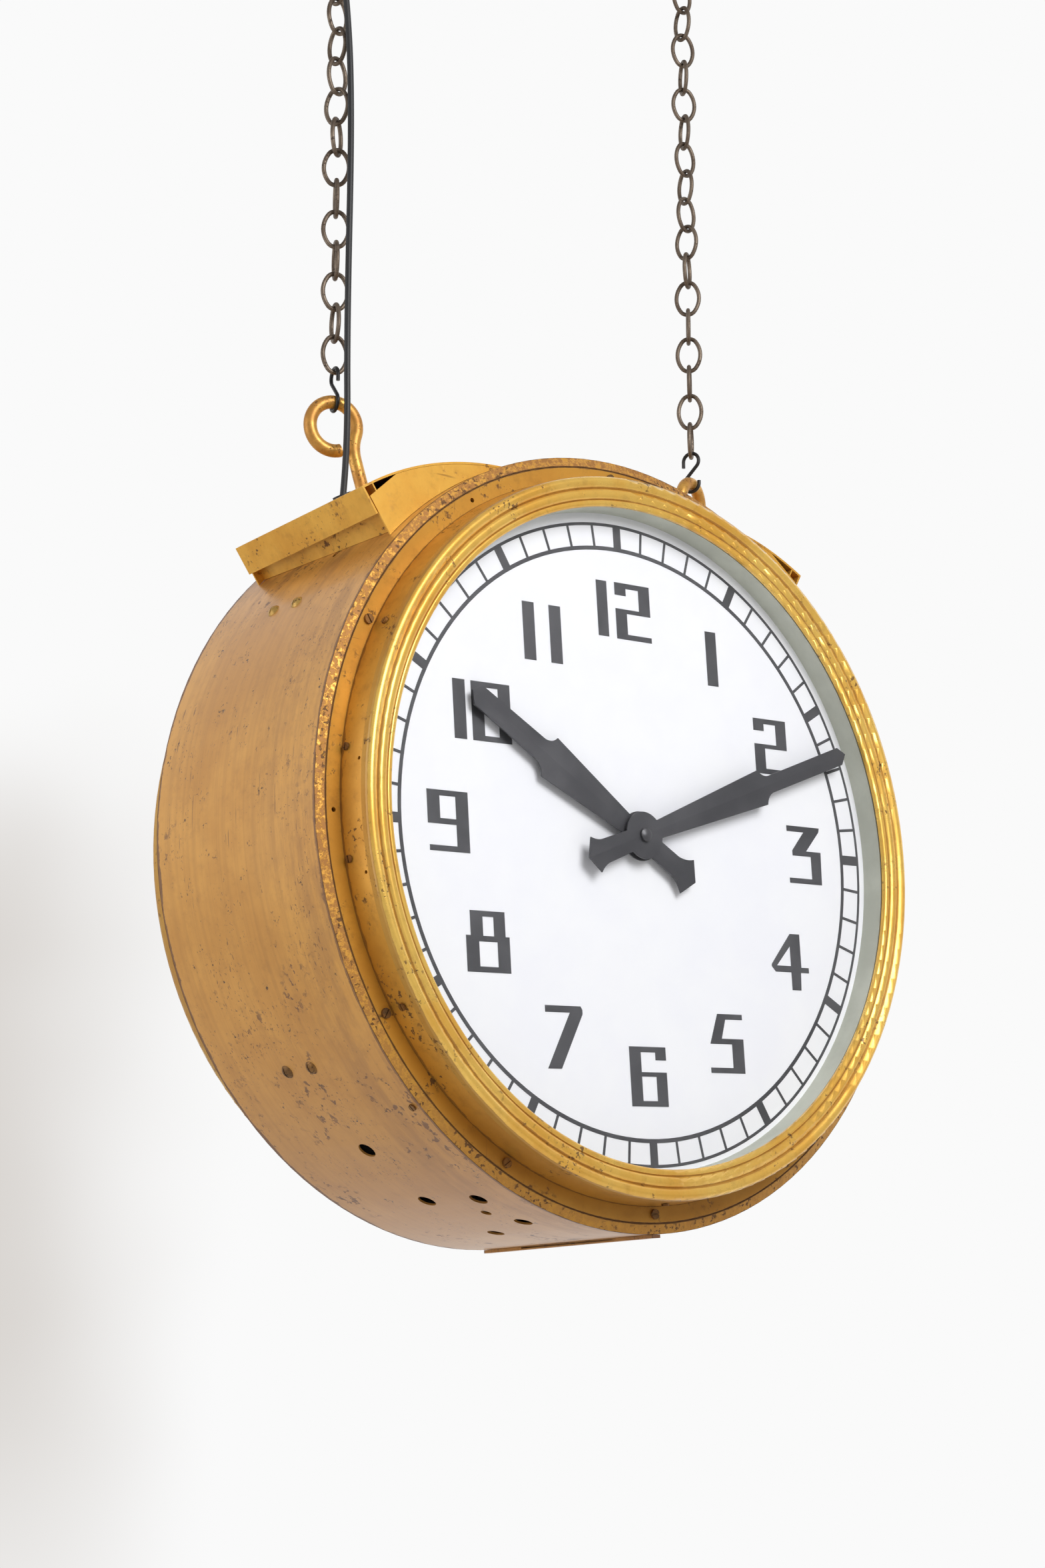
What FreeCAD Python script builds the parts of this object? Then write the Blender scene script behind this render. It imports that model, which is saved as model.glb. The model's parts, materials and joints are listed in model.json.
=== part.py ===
import FreeCAD, Part
import math
import os
from FreeCAD import Placement, Rotation, Vector

# Double sided station clock hung on two chains. Millimetres.
# The clock is built about the centre of its drum: +X right and -Y out of the front dial, +Z to twelve.
# It is then rolled by the odd chain link and placed under the ceiling, where the world's origin is.

# Case
DRUM_RADIUS = 360.0
DRUM_DEPTH = 236.0
DRUM_SHEET = 2.0
DRUM_LIP_RADIUS = 328.0
RIM_BAND_INNER = 350.8
RIM_BAND_RISE = 3.3
RIM_BAND_EDGE = 0.5
FLANGE_RADIUS = 350.3
FLANGE_THICKNESS = 3.3
NECK_FOOT_RADIUS = 335.3
NECK_WALL = 2.4
SEAT_RADIUS = 322.0
SEAT_STEP = 1.0
NECK_LENGTH = 26.2
REAR_NECK_EXTRA = 10.0

# Bezel, glass and reveal ring
BEZEL_RADIUS = 333.0
SIGHT_RADIUS = 305.0
SPIGOT_WALL = 3.6
SPIGOT_DEPTH = 15.2
SPIGOT_CLEARANCE = 0.4
# Moulding crests and grooves: radius, and height in front of the dial
WALL_TOP = 27.0
BEAD_RADIUS = 328.0
BEAD_TOP = 33.0
GROOVE_RADIUS = 321.5
GROOVE_TOP = 29.5
RIDGE_RADIUS = 316.5
RIDGE_TOP = 32.0
INNER_GROOVE_RADIUS = 311.0
INNER_GROOVE_TOP = 29.0
LIP_RADIUS = 308.5
LIP_TOP = 30.2
GLASS_SEAT = 25.5
GLASS_RADIUS = 318.0
GLASS_THICKNESS = 2.5
GLASS_CLEARANCE = 0.2
LIP_THICKNESS = 2.8
REVEAL_RADIUS = 306.0
REVEAL_WALL = 1.5
REVEAL_FOOT_RADIUS = 316.0
REVEAL_FOOT_THICKNESS = 1.2

# Dial and its print
DIAL_RADIUS = 328.0
DIAL_THICKNESS = 3.0
DIAL_DROP = 2.4
DIAL_HOLE_RADIUS = 9.0
PRINT_THICKNESS = 0.3
TRACK_INNER_RADIUS = 275.0
TRACK_INNER_LINE = 3.7
TRACK_OUTER_RADIUS = 297.7
TRACK_OUTER_LINE = 2.8
HOUR_TICK_WIDTH = 9.2
MINUTE_TICK_WIDTH = 2.7

# Hands
TIME_MINUTE_ANGLE = 70.0
TIME_HOUR_ANGLE = 301.2
HAND_SHEET = 1.0
HAND_RIDGE = 1.4
HOUR_HAND_LIFT = 7.0
MINUTE_HAND_LIFT = 12.0
HOUR_HUB_RADIUS = 23.0
MINUTE_HUB_RADIUS = 22.0
NUT_RADIUS = 6.5
NUT_SKIRT = 2.2
NUT_DOME = 2.2

# Movement
BRIDGE_THICKNESS = 6.0
BRIDGE_WIDTH = 40.0
BRIDGE_PAD_WIDTH = 104.0
BRIDGE_FOOT_DEPTH = 20.0
BRIDGE_FOOT_THICKNESS = 4.0
CASE_HALF_WIDTH = 38.0
CASE_BOTTOM = -50.0
CASE_TOP = 62.0
CASE_LENGTH = 60.0
CASE_WALL = 2.0
CASE_EAR = 12.0
MID_PLATE_OFFSET = 33.0
ARBOR_RADIUS = 3.0
PIPE_RADIUS = 6.0
PIVOT_RADIUS = 1.5
RUNNING_CLEARANCE = 0.05
MOTOR_MODULE = 1.0
MOTOR_PINION_TEETH = 10
ARBOR_WHEEL_TEETH = 60
MOTION_MODULE = 1.2
CANNON_TEETH = 10
MINUTE_WHEEL_TEETH = 30
MINUTE_PINION_TEETH = 8
HOUR_WHEEL_TEETH = 32
WHEEL_THICKNESS = 3.0
PINION_LENGTH = 5.0
ROTOR_RADIUS = 14.0
ROTOR_LENGTH = 16.0
COIL_RADIUS = 23.0
COIL_GAP = 1.5
WHEEL_START = 9.5
CANNON_START = 4.0
PIVOT_DEPTH = 2.0
SHOULDER_STEP = 2.0

# Bars, saddle and fasteners
BAR_WIDTH = 50.0
BAR_THICKNESS = 4.0
BAR_PAD_ANGLE = 3.5
BAR_PAD_WALL = 4.0
UPPER_BAR_ANGLE = 54.1
LOWER_BAR_ANGLE = 124.85
BAR_OFFSET = 4.0
BAR_SCREW_SPACING = 35.0
BAR_SCREW_HEAD = 6.5
BAR_SCREW_DOME = 3.5
BAR_SCREW_SHANK = 3.0
BAR_SCREW_LENGTH = 12.0
BOLT_RADIUS = 2.5
BOLT_FLATS = 8.0
BOLT_HEAD_HEIGHT = 3.5
BOLT_NUT_HEIGHT = 4.0
BLOCK_PLACE = 150.0
BLOCK_LENGTH = 36.0
BLOCK_WIDTH = 20.0
BLOCK_HEIGHT = 16.0
BLOCK_HOLE_RADIUS = 2.0
SADDLE_ANGLE = 38.0
SADDLE_THICKNESS = 5.0
SADDLE_WIDTH = 60.0
FIT_GAP = 0.2
RING_SCREW_RADIUS = 342.3
RING_SCREW_COUNT = 12
RING_SCREW_HEAD = 4.5
RING_SCREW_HEAD_HEIGHT = 2.4
RING_SCREW_SHANK = 2.0
RING_SCREW_LENGTH = 9.0
MISSING_FRONT_SCREWS = (-30, -90)
NECK_SCREW_ANGLES = (-120, -60, 0, 60, 120, 180)
NECK_SCREW_LIFT = 11.2
NECK_SCREW_HEAD = 3.5
NECK_SCREW_HEAD_HEIGHT = 1.8
NECK_SCREW_SHANK = 1.7
NECK_SCREW_LENGTH = 7.0
SIDE_SCREW_ANGLES = (-97.3, -80.7, 80.7, 97.3)
SIDE_SCREW_LIFT = 2.2
SIDE_SCREW_SHANK = 1.7
SIDE_SCREW_LENGTH = 4.5
SIDE_HOLE_ANGLES = (-99.7, -82.9, 82.9, 99.7)
SIDE_HOLE_LIFT = 19.0
SIDE_HOLE_RADIUS = 1.6
RIM_SCREW_ANGLE = -133.6
RIM_SCREW_DEPTH = 108.0
# Left over holes low on the left of the drum: angle from twelve, y, radius
DRUM_HOLES = (
    (-140.1, -4.0, 8.5),
    (-153.0, -1.0, 8.5),
    (-154.1, -65.0, 8.5),
    (-162.9, -64.0, 8.5),
    (-166.5, 0.0, 8.0),
    (-158.3, -46.0, 5.0),
)

# Bottom cover
COVER_WIDTH = 9.0
COVER_DROP = 3.2
COVER_SHEET = 1.0
COVER_SLOT_LENGTH = 128.0
COVER_SLOT_HEIGHT = 1.2
COVER_SLOT_RISE = 0.3
SEAM_LENGTH = 210.0
SEAM_WIDTH = 2.0

# Eye bolt hoods
HOOD_ANGLE = 30.8
HOOD_HALF_LENGTH = 100.0
HOOD_TILT = 2.6
ROOF_CENTRE_X = 120.3
ROOF_CENTRE_Z = 31.9
ROOF_RADIUS = 306.0
ROOF_SHEET = 2.0
ROOF_END = -87.3
LIP_LENGTH = 27.4
HOOD_SHEET = 1.5
CHEEK_END = -84.0
CHEEK_CORNER = 384.2
CHEEK_CLOSES = -45.0
END_WALL = -74.0

# Hanging gear
CHAIN_SPAN = 457.2
HANG_RISE_LEFT = 412.9
HANG_RISE_RIGHT = 405.0
STEM_LEAN = 15.1
EYE_ROD_RADIUS = 6.2
EYE_RING_RADIUS = 23.0
EYE_RING_END = -91.0
EYE_TURN_LEFT = 16.0
EYE_TURN_RIGHT = 21.5
STEM_STRAIGHT = 34.0
WASHER_RADIUS = 13.0
NUT_FLATS = 20.0
NUT_HEIGHT = 10.0
STEM_SPARE = 3.0
LINK_WIRE = 4.2
LINK_WIDTH = 28.0
LINK_PITCH = 31.2
LINK_END_RADIUS = 9.0
LEFT_LINK_TURNS = (
    -15.6, 69.9, 155.4, 61.4, 148.4, 58.4, 139.4, 33.9, 112.4,
    11.4, 92.4, 8.4, 92.0, 0.0, 90.0, 0.0, 90.0, 0.0,
)
RIGHT_LINK_TURNS = (
    39.4, 125.4, 43.4, 127.8, 47.4, 125.4, 33.1, 103.4, 3.8,
    79.7, 177.2, 67.4, 157.4, 62.4, 164.4, 82.8, 0.0,
)
HANG_GAP = 0.3
S_WIRE = 3.6
S_RADIUS = 8.5
S_CENTRES = 24.4
S_UPPER_TIP = 6.0
S_LOWER_TIP = 2.5
HOOK_ROD_RADIUS = 3.0
HOOK_RADIUS = 10.0
HOOK_DROP_LEFT = 19.0
HOOK_DROP_RIGHT = 30.2
HOOK_TIP = 5.0
PLATE_THICKNESS = 5.0
PLATE_WIDTH = 30.0
FIXING_SPACING = 40.0
FIXING_HOLE_RADIUS = 2.6

# Supply cable: its route under the ceiling, from the rose down to the left hood
CABLE_RADIUS = 3.0
CABLE_ROUTE = (
    (-262.0, 0.0, -27.8),
    (-261.5, -1.5, -50.0),
    (-256.0, -8.0, -88.0),
    (-245.0, -16.5, -145.0),
    (-233.0, -19.0, -212.0),
    (-224.4, -18.5, -325.0),
    (-228.4, -18.0, -556.0),
    (-226.4, -18.0, -676.0),
    (-232.2, -18.0, -727.0),
)
ROSE_RADIUS = 14.0
ROSE_NECK_RADIUS = 6.0
ROSE_HEIGHT = 16.0
ROSE_GAP = 0.6
GROMMET_RADIUS = 9.0
GROMMET_HEAD = 2.5
GROMMET_HOLE_RADIUS = 6.5
CABLE_CLEARANCE = 0.3

# Worked out from the sizes above
HALF_DEPTH = DRUM_DEPTH / 2
DIAL_FRONT = HALF_DEPTH + FLANGE_THICKNESS + SEAT_STEP + DIAL_THICKNESS
HANG_RISE = (HANG_RISE_LEFT + HANG_RISE_RIGHT) / 2
LINK_HALF_WIDTH = (LINK_WIDTH - LINK_WIRE) / 2
LINK_REACH = LINK_PITCH + HANG_GAP + LINK_WIRE
EXTRA_LINKS = len(LEFT_LINK_TURNS) - len(RIGHT_LINK_TURNS)
HANG_STEP = EXTRA_LINKS * LINK_PITCH - HOOK_DROP_RIGHT + HOOK_DROP_LEFT
EYE_STEP = HANG_RISE_LEFT - HANG_RISE_RIGHT
EYE_SPAN = math.sqrt(CHAIN_SPAN**2 + HANG_STEP**2 - EYE_STEP**2)
ROLL = math.degrees(math.atan2(HANG_STEP, CHAIN_SPAN) + math.atan2(EYE_STEP, EYE_SPAN))
Y_AXIS = Vector(0, 1, 0)
Z_AXIS = Vector(0, 0, 1)


def polar(radius, angle, depth=0.0):
    """A point at an angle clockwise from twelve, seen from the front."""
    turn = math.radians(angle)
    return Vector(radius * math.sin(turn), -depth, radius * math.cos(turn))


def disc(radius, back, front, x=0.0, z=0.0):
    return Part.makeCylinder(radius, front - back, Vector(x, -front, z), Y_AXIS)


def ring(outer, inner, back, front, x=0.0, z=0.0):
    return disc(outer, back, front, x, z).cut(disc(inner, back - 1, front + 1, x, z))


def box(x0, x1, y0, y1, z0, z1):
    return Part.makeBox(x1 - x0, y1 - y0, z1 - z0, Vector(x0, y0, z0))


def prism(points, y0, y1):
    """A sheet or block whose outline lies in the plane of the dial."""
    corners = [Vector(x, y0, z) for x, z in points]
    face = Part.Face(Part.makePolygon(corners + corners[:1]))
    return face.extrude(Vector(0, y1 - y0, 0))


def outline(steps):
    """A closed wire of lines to (a, b) and arcs through (a, b) to (c, d), as (a, b, c, d)."""
    edges = []
    here = Vector(steps[0][0], steps[0][1], 0)
    for step in list(steps[1:]) + [steps[0]]:
        there = Vector(step[-2], step[-1], 0)
        if len(step) == 2:
            edges.append(Part.makeLine(here, there))
        else:
            edges.append(Part.Arc(here, Vector(step[0], step[1], 0), there).toShape())
        here = there
    return Part.Wire(edges)


def turned(steps):
    """A solid of revolution about the arbor from an outline of (radius, depth) steps."""
    face = Part.Face(outline(steps))
    face.rotate(Vector(), Vector(1, 0, 0), 180)
    return face.revolve(Vector(), Y_AXIS, 360)


def seat_after(shape, point, direction):
    """Stands a shape built along +Z at a point, along a direction."""
    place = Placement(point, Rotation(Z_AXIS, direction))
    shape = shape.copy()
    shape.Placement = place.multiply(shape.Placement)
    return shape


def radial_hole(angle, depth, radius, start, length):
    """A cutter that runs outwards through the case wall."""
    return Part.makeCylinder(radius, length, polar(start, angle, depth), polar(1, angle))


def screw(head_radius, head_height, shank_radius, length, dome=False):
    """A slotted screw along +Z with the underside of its head at zero."""
    head = Part.makeCylinder(head_radius, head_height)
    if dome:
        ball = (head_radius**2 + head_height**2) / (2 * head_height)
        head = head.common(Part.makeSphere(ball, Vector(0, 0, head_height - ball)))
    slot = box(-head_radius, head_radius, -0.6, 0.6, head_height / 2, head_height + 1)
    shank = Part.makeCylinder(shank_radius, length, Vector(0, 0, -length))
    return head.cut(slot).fuse(shank)


def hexagon(flats, height):
    side = flats / math.sqrt(3)
    corners = [Vector(side, 0, 0)]
    for k in range(1, 6):
        corners.append(Vector(side * math.cos(math.pi / 3 * k), side * math.sin(math.pi / 3 * k), 0))
    return Part.Face(Part.makePolygon(corners + corners[:1])).extrude(Vector(0, 0, height))


def nut(flats, height, bore):
    return hexagon(flats, height).cut(Part.makeCylinder(bore, height))


def gear(teeth, module, back, front, first_angle):
    """A straight flanked gear about the Y axis with one tooth centred on first_angle."""
    pitch = module * teeth / 2
    step = 360.0 / teeth
    flanks = (
        (pitch - 1.15 * module, -0.25),
        (pitch, -0.18),
        (pitch + 0.75 * module, -0.09),
        (pitch + 0.75 * module, 0.09),
        (pitch, 0.18),
        (pitch - 1.15 * module, 0.25),
    )
    corners = []
    for tooth in range(teeth):
        for radius, share in flanks:
            corners.append(polar(radius, first_angle + (tooth + share) * step, front))
    face = Part.Face(Part.makePolygon(corners + corners[:1]))
    return face.extrude(Vector(0, front - back, 0))


def tube(edges, radius):
    """A round rod or cord along tangent lines and arcs."""
    path = Part.Wire(edges)
    start = edges[0].Vertexes[0].Point
    along = edges[0].tangentAt(edges[0].FirstParameter)
    section = Part.Wire(Part.makeCircle(radius, start, along))
    return path.makePipeShell([section], True, False)


def fused(shapes):
    return shapes[0].multiFuse(shapes[1:]).removeSplitter()


# Case ring, bezel, glass, dial


def neck_radius(lift, extra):
    """Outer radius of the tapering neck at a distance in front of the dial."""
    share = (lift + DIAL_THICKNESS + SEAT_STEP) / (NECK_LENGTH + extra)
    return NECK_FOOT_RADIUS - (NECK_FOOT_RADIUS - BEZEL_RADIUS) * share


def ring_screw_angles():
    step = 360 // RING_SCREW_COUNT
    return [step * k - 150 for k in range(RING_SCREW_COUNT)]


def make_rim_band():
    front = HALF_DEPTH + RIM_BAND_RISE
    return turned((
        (RIM_BAND_INNER, HALF_DEPTH),
        (DRUM_RADIUS, HALF_DEPTH),
        (DRUM_RADIUS, HALF_DEPTH + RIM_BAND_EDGE),
        (RIM_BAND_INNER + RIM_BAND_EDGE, front),
        (RIM_BAND_INNER, front),
    ))


def neck_holes(extra):
    """Cutters for the radial screws and the empty holes of the neck."""
    reach = 2 * (NECK_WALL + SPIGOT_WALL)
    cutters = []
    for angle in NECK_SCREW_ANGLES:
        radius = NECK_SCREW_SHANK + FIT_GAP
        lift = DIAL_FRONT + NECK_SCREW_LIFT
        cutters.append(radial_hole(angle, lift, radius, BEZEL_RADIUS - reach, 2 * reach))
    for angle in SIDE_SCREW_ANGLES:
        depth = DIAL_FRONT + SIDE_SCREW_LIFT
        radius = SIDE_SCREW_SHANK + FIT_GAP
        cutters.append(radial_hole(angle, depth, radius, BEZEL_RADIUS - reach, 2 * reach))
    for angle in SIDE_HOLE_ANGLES:
        depth = DIAL_FRONT + SIDE_HOLE_LIFT + extra
        cutters.append(radial_hole(angle, depth, SIDE_HOLE_RADIUS, BEZEL_RADIUS - reach, 2 * reach))
    return cutters


def make_casing_ring(extra):
    flange_front = HALF_DEPTH + FLANGE_THICKNESS
    neck_front = flange_front + NECK_LENGTH + extra
    shape = turned((
        (SEAT_RADIUS, HALF_DEPTH),
        (FLANGE_RADIUS, HALF_DEPTH),
        (FLANGE_RADIUS, flange_front),
        (NECK_FOOT_RADIUS, flange_front),
        (BEZEL_RADIUS, neck_front),
        (BEZEL_RADIUS - NECK_WALL, neck_front),
        (NECK_FOOT_RADIUS - NECK_WALL, flange_front + SEAT_STEP),
        (SEAT_RADIUS, flange_front + SEAT_STEP),
    ))
    cutters = neck_holes(extra)
    for angle in ring_screw_angles():
        at = polar(RING_SCREW_RADIUS, angle)
        cutters.append(disc(RING_SCREW_SHANK + FIT_GAP, HALF_DEPTH - 1, flange_front + 1, at.x, at.z))
    return shape.cut(cutters)


def make_case_screws(extra, missing):
    """Flange screws, neck screws and the short side screws of one face."""
    screws = []
    for angle in ring_screw_angles():
        if angle not in missing:
            one = screw(RING_SCREW_HEAD, RING_SCREW_HEAD_HEIGHT, RING_SCREW_SHANK, RING_SCREW_LENGTH)
            at = polar(RING_SCREW_RADIUS, angle, HALF_DEPTH + FLANGE_THICKNESS)
            one.rotate(Vector(), Z_AXIS, angle)
            screws.append(seat_after(one, at, Vector(0, -1, 0)))
    for angle in NECK_SCREW_ANGLES:
        one = screw(NECK_SCREW_HEAD, NECK_SCREW_HEAD_HEIGHT, NECK_SCREW_SHANK, NECK_SCREW_LENGTH)
        radius = neck_radius(NECK_SCREW_LIFT - NECK_SCREW_HEAD, extra)
        at = polar(radius, angle, DIAL_FRONT + NECK_SCREW_LIFT)
        screws.append(seat_after(one, at, polar(1, angle)))
    for angle in SIDE_SCREW_ANGLES:
        one = screw(NECK_SCREW_HEAD, NECK_SCREW_HEAD_HEIGHT, SIDE_SCREW_SHANK, SIDE_SCREW_LENGTH)
        radius = neck_radius(SIDE_SCREW_LIFT - NECK_SCREW_HEAD, extra)
        at = polar(radius, angle, DIAL_FRONT + SIDE_SCREW_LIFT)
        screws.append(seat_after(one, at, polar(1, angle)))
    return Part.makeCompound(screws)


def make_bezel(extra):
    """Moulded bezel: bead, ridge and lip in front, glass rebate and spigot behind."""
    rest = DIAL_FRONT + extra
    neck_front = HALF_DEPTH + FLANGE_THICKNESS + NECK_LENGTH + extra
    spigot = BEZEL_RADIUS - NECK_WALL - SPIGOT_CLEARANCE
    lip_back = rest + GLASS_SEAT
    rebate_back = lip_back - GLASS_THICKNESS - 2 * GLASS_CLEARANCE
    rebate = GLASS_RADIUS + SPIGOT_CLEARANCE
    shape = turned((
        (BEZEL_RADIUS, neck_front),
        (BEZEL_RADIUS, rest + WALL_TOP),
        (BEZEL_RADIUS - 1.0, rest + WALL_TOP + 4.0, BEAD_RADIUS, rest + BEAD_TOP),
        (BEAD_RADIUS - 3.5, rest + BEAD_TOP - 0.9, GROOVE_RADIUS, rest + GROOVE_TOP),
        (GROOVE_RADIUS - 2.0, rest + GROOVE_TOP + 1.9, RIDGE_RADIUS, rest + RIDGE_TOP),
        (RIDGE_RADIUS - 3.5, rest + RIDGE_TOP - 0.8, INNER_GROOVE_RADIUS, rest + INNER_GROOVE_TOP),
        (INNER_GROOVE_RADIUS - 1.2, rest + LIP_TOP - 0.1, LIP_RADIUS, rest + LIP_TOP),
        (SIGHT_RADIUS + 1.3, rest + LIP_TOP - 0.4, SIGHT_RADIUS, lip_back + LIP_THICKNESS),
        (SIGHT_RADIUS, lip_back),
        (rebate, lip_back),
        (rebate, rebate_back),
        (spigot - SPIGOT_WALL, rebate_back),
        (spigot - SPIGOT_WALL, neck_front - SPIGOT_DEPTH - extra),
        (spigot, neck_front - SPIGOT_DEPTH - extra),
        (spigot, neck_front),
    ))
    return shape.cut(neck_holes(extra))


def make_glass(extra):
    front = DIAL_FRONT + extra + GLASS_SEAT - GLASS_CLEARANCE
    return disc(GLASS_RADIUS, front - GLASS_THICKNESS, front)


def make_reveal_ring(extra):
    front = DIAL_FRONT + extra + GLASS_SEAT - GLASS_THICKNESS - 2 * GLASS_CLEARANCE
    outer = REVEAL_RADIUS + REVEAL_WALL
    return turned((
        (REVEAL_RADIUS, DIAL_FRONT),
        (REVEAL_FOOT_RADIUS, DIAL_FRONT),
        (REVEAL_FOOT_RADIUS, DIAL_FRONT + REVEAL_FOOT_THICKNESS),
        (outer, DIAL_FRONT + REVEAL_FOOT_THICKNESS),
        (outer, front),
        (REVEAL_RADIUS, front),
    ))


def make_dial():
    plate = disc(DIAL_RADIUS, DIAL_FRONT - DIAL_THICKNESS, DIAL_FRONT, 0, -DIAL_DROP)
    return plate.cut(disc(DIAL_HOLE_RADIUS, DIAL_FRONT - DIAL_THICKNESS - 1, DIAL_FRONT + 1))


# Dial print


def glyph(x, z, points, holes=()):
    """A printed figure from outline points measured from its lower left corner."""

    def sheet(corners):
        placed = [(x + u, z - DIAL_DROP + v) for u, v in corners]
        return prism(placed, -DIAL_FRONT - PRINT_THICKNESS, -DIAL_FRONT)

    shape = sheet(points)
    for hole in holes:
        shape = shape.cut(sheet(hole))
    return shape


def block(x0, x1, z0, z1):
    return ((x0, z0), (x1, z0), (x1, z1), (x0, z1))


def figure_one(x, z, height=54.0, width=14.0):
    return glyph(x, z, block(0, width, 0, height))


def figure_two(x, z):
    return glyph(x, z, (
        (0, 54), (44, 54), (44, 25), (14, 25), (14, 5), (44, 5), (44, 0), (0, 0),
        (0, 29), (30, 29), (30, 49), (14, 49), (14, 42), (0, 42),
    ))


def figure_three(x, z):
    return glyph(x, z, (
        (0, 56), (45, 56), (44, 52), (25, 32), (45, 32), (44, 0), (0, 0),
        (0, 5), (31, 5), (31, 27), (6, 27), (6, 32), (23, 50.5), (0, 50.5),
    ))


def figure_four(x, z):
    ring_points = (
        (27, 54), (40, 54), (40, 22), (50, 22), (50, 17), (39, 17),
        (38, 0), (26, 0), (26, 17), (5, 17), (0, 22), (0, 24),
    )
    return glyph(x, z, ring_points, [((7, 23), (26, 23), (26, 42))])


def figure_five(x, z):
    return glyph(x, z, (
        (12, 55), (44, 55), (44, 50), (22, 50), (16, 32), (44, 32),
        (44, 0), (0, 0), (0, 5), (29, 5), (29, 27), (1, 27),
    ))


def figure_six(x, z):
    points = (
        (0, 54), (45, 54), (45, 42), (32, 42), (32, 49), (14, 49),
        (14, 31), (45, 31), (45, 0), (0, 0),
    )
    return glyph(x, z, points, [block(14, 32, 5, 27)])


def figure_seven(x, z):
    return glyph(x, z, ((0, 56), (42, 56), (44, 53), (44, 49), (16, 0), (0, 0), (29, 50), (0, 50)))


def figure_eight(x, z):
    points = (
        (0, 0), (49.5, 0), (49.5, 32), (45, 32), (45, 54), (5.5, 54), (5.5, 32), (0, 32),
    )
    return glyph(x, z, points, [block(14.5, 35.5, 5, 27), block(19.5, 32, 32, 49)])


def figure_nine(x, z):
    points = ((0, 54), (46, 54), (46, 0), (1, 0), (1, 5), (32, 5), (32, 24), (0, 24))
    return glyph(x, z, points, [block(14, 32, 29, 49)])


def figure_nought(x, z):
    return glyph(x, z, block(0, 45, 0, 54), [block(14, 31, 5, 49)])


def make_figures():
    """The twelve hour numerals where they stand on the dial, from twelve round to eleven."""
    return [
        figure_one(-30, 190, 53, 13),
        figure_two(-7, 189.5),
        figure_one(107.5, 157, 53),
        figure_two(165, 77.5),
        figure_three(201, -27),
        figure_four(168, -131),
        figure_five(79, -212),
        figure_six(-23, -244),
        figure_seven(-121, -212),
        figure_eight(-207.5, -130),
        figure_nine(-244, -26),
        figure_one(-209, 76),
        figure_nought(-188, 76),
        figure_one(-122.5, 157),
        figure_one(-90.5, 157),
    ]


def make_track():
    """Minute track: two rings joined by sixty ticks, wider at the hours."""
    back = DIAL_FRONT
    front = DIAL_FRONT + PRINT_THICKNESS
    inner = TRACK_INNER_RADIUS - TRACK_INNER_LINE / 2
    outer = TRACK_OUTER_RADIUS + TRACK_OUTER_LINE / 2
    parts = [
        ring(inner + TRACK_INNER_LINE, inner, back, front, 0, -DIAL_DROP),
        ring(outer, outer - TRACK_OUTER_LINE, back, front, 0, -DIAL_DROP),
    ]
    for minute in range(60):
        width = MINUTE_TICK_WIDTH if minute % 5 else HOUR_TICK_WIDTH
        tick = box(-width / 2, width / 2, -front, -back, TRACK_INNER_RADIUS, TRACK_OUTER_RADIUS)
        tick.rotate(Vector(), Y_AXIS, 6 * minute)
        tick.translate(Vector(0, 0, -DIAL_DROP))
        parts.append(tick)
    return fused(parts)


def make_dial_print():
    return Part.makeCompound([make_track()] + make_figures())


# Hands


def make_hand(half_outline, hub_radius, lift, bore, angle):
    """A hand from the outline of its right half, with a low ridge along its middle."""
    back = DIAL_FRONT + lift
    top = back + HAND_SHEET + HAND_RIDGE
    right = Part.Face(outline(half_outline))
    right.rotate(Vector(), Vector(1, 0, 0), 90)
    right.translate(Vector(0, -back, 0))
    right = right.extrude(Vector(0, back - top, 0))
    left = right.mirror(Vector(), Vector(1, 0, 0))
    blade = right.fuse(left).fuse(disc(hub_radius, back, top)).removeSplitter()
    long = blade.BoundBox
    corners = (
        (-hub_radius - 1, -back),
        (hub_radius + 1, -back),
        (hub_radius + 1, -back - HAND_SHEET),
        (0, -top),
        (-hub_radius - 1, -back - HAND_SHEET),
    )
    points = [Vector(x, y, long.ZMin - 1) for x, y in corners]
    roof = Part.Face(Part.makePolygon(points + points[:1])).extrude(Vector(0, 0, long.ZLength + 2))
    hand = blade.common(roof).cut(disc(bore, back - 1, top + 1))
    hand.rotate(Vector(), Y_AXIS, angle)
    return hand


def make_minute_hand():
    return make_hand(
        (
            (0, -74),
            (16.8, -64.5),
            (12.9, -58.5, 11.2, -50),
            (9.4, 0),
            (8.6, 20),
            (17.3, 169),
            (11.2, 173.2, 8.4, 182),
            (8.7, 286),
            (0, 294),
        ),
        MINUTE_HUB_RADIUS,
        MINUTE_HAND_LIFT,
        ARBOR_RADIUS + RUNNING_CLEARANCE,
        TIME_MINUTE_ANGLE,
    )


def make_hour_hand():
    return make_hand(
        (
            (0, -76),
            (19, -65.5),
            (13.6, -58, 10.3, -48),
            (10.1, 0),
            (10, 20),
            (21.5, 124),
            (14.6, 129, 11.5, 139),
            (10.5, 218),
            (0, 226),
        ),
        HOUR_HUB_RADIUS,
        HOUR_HAND_LIFT,
        PIPE_RADIUS + RUNNING_CLEARANCE,
        TIME_HOUR_ANGLE,
    )


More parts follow.
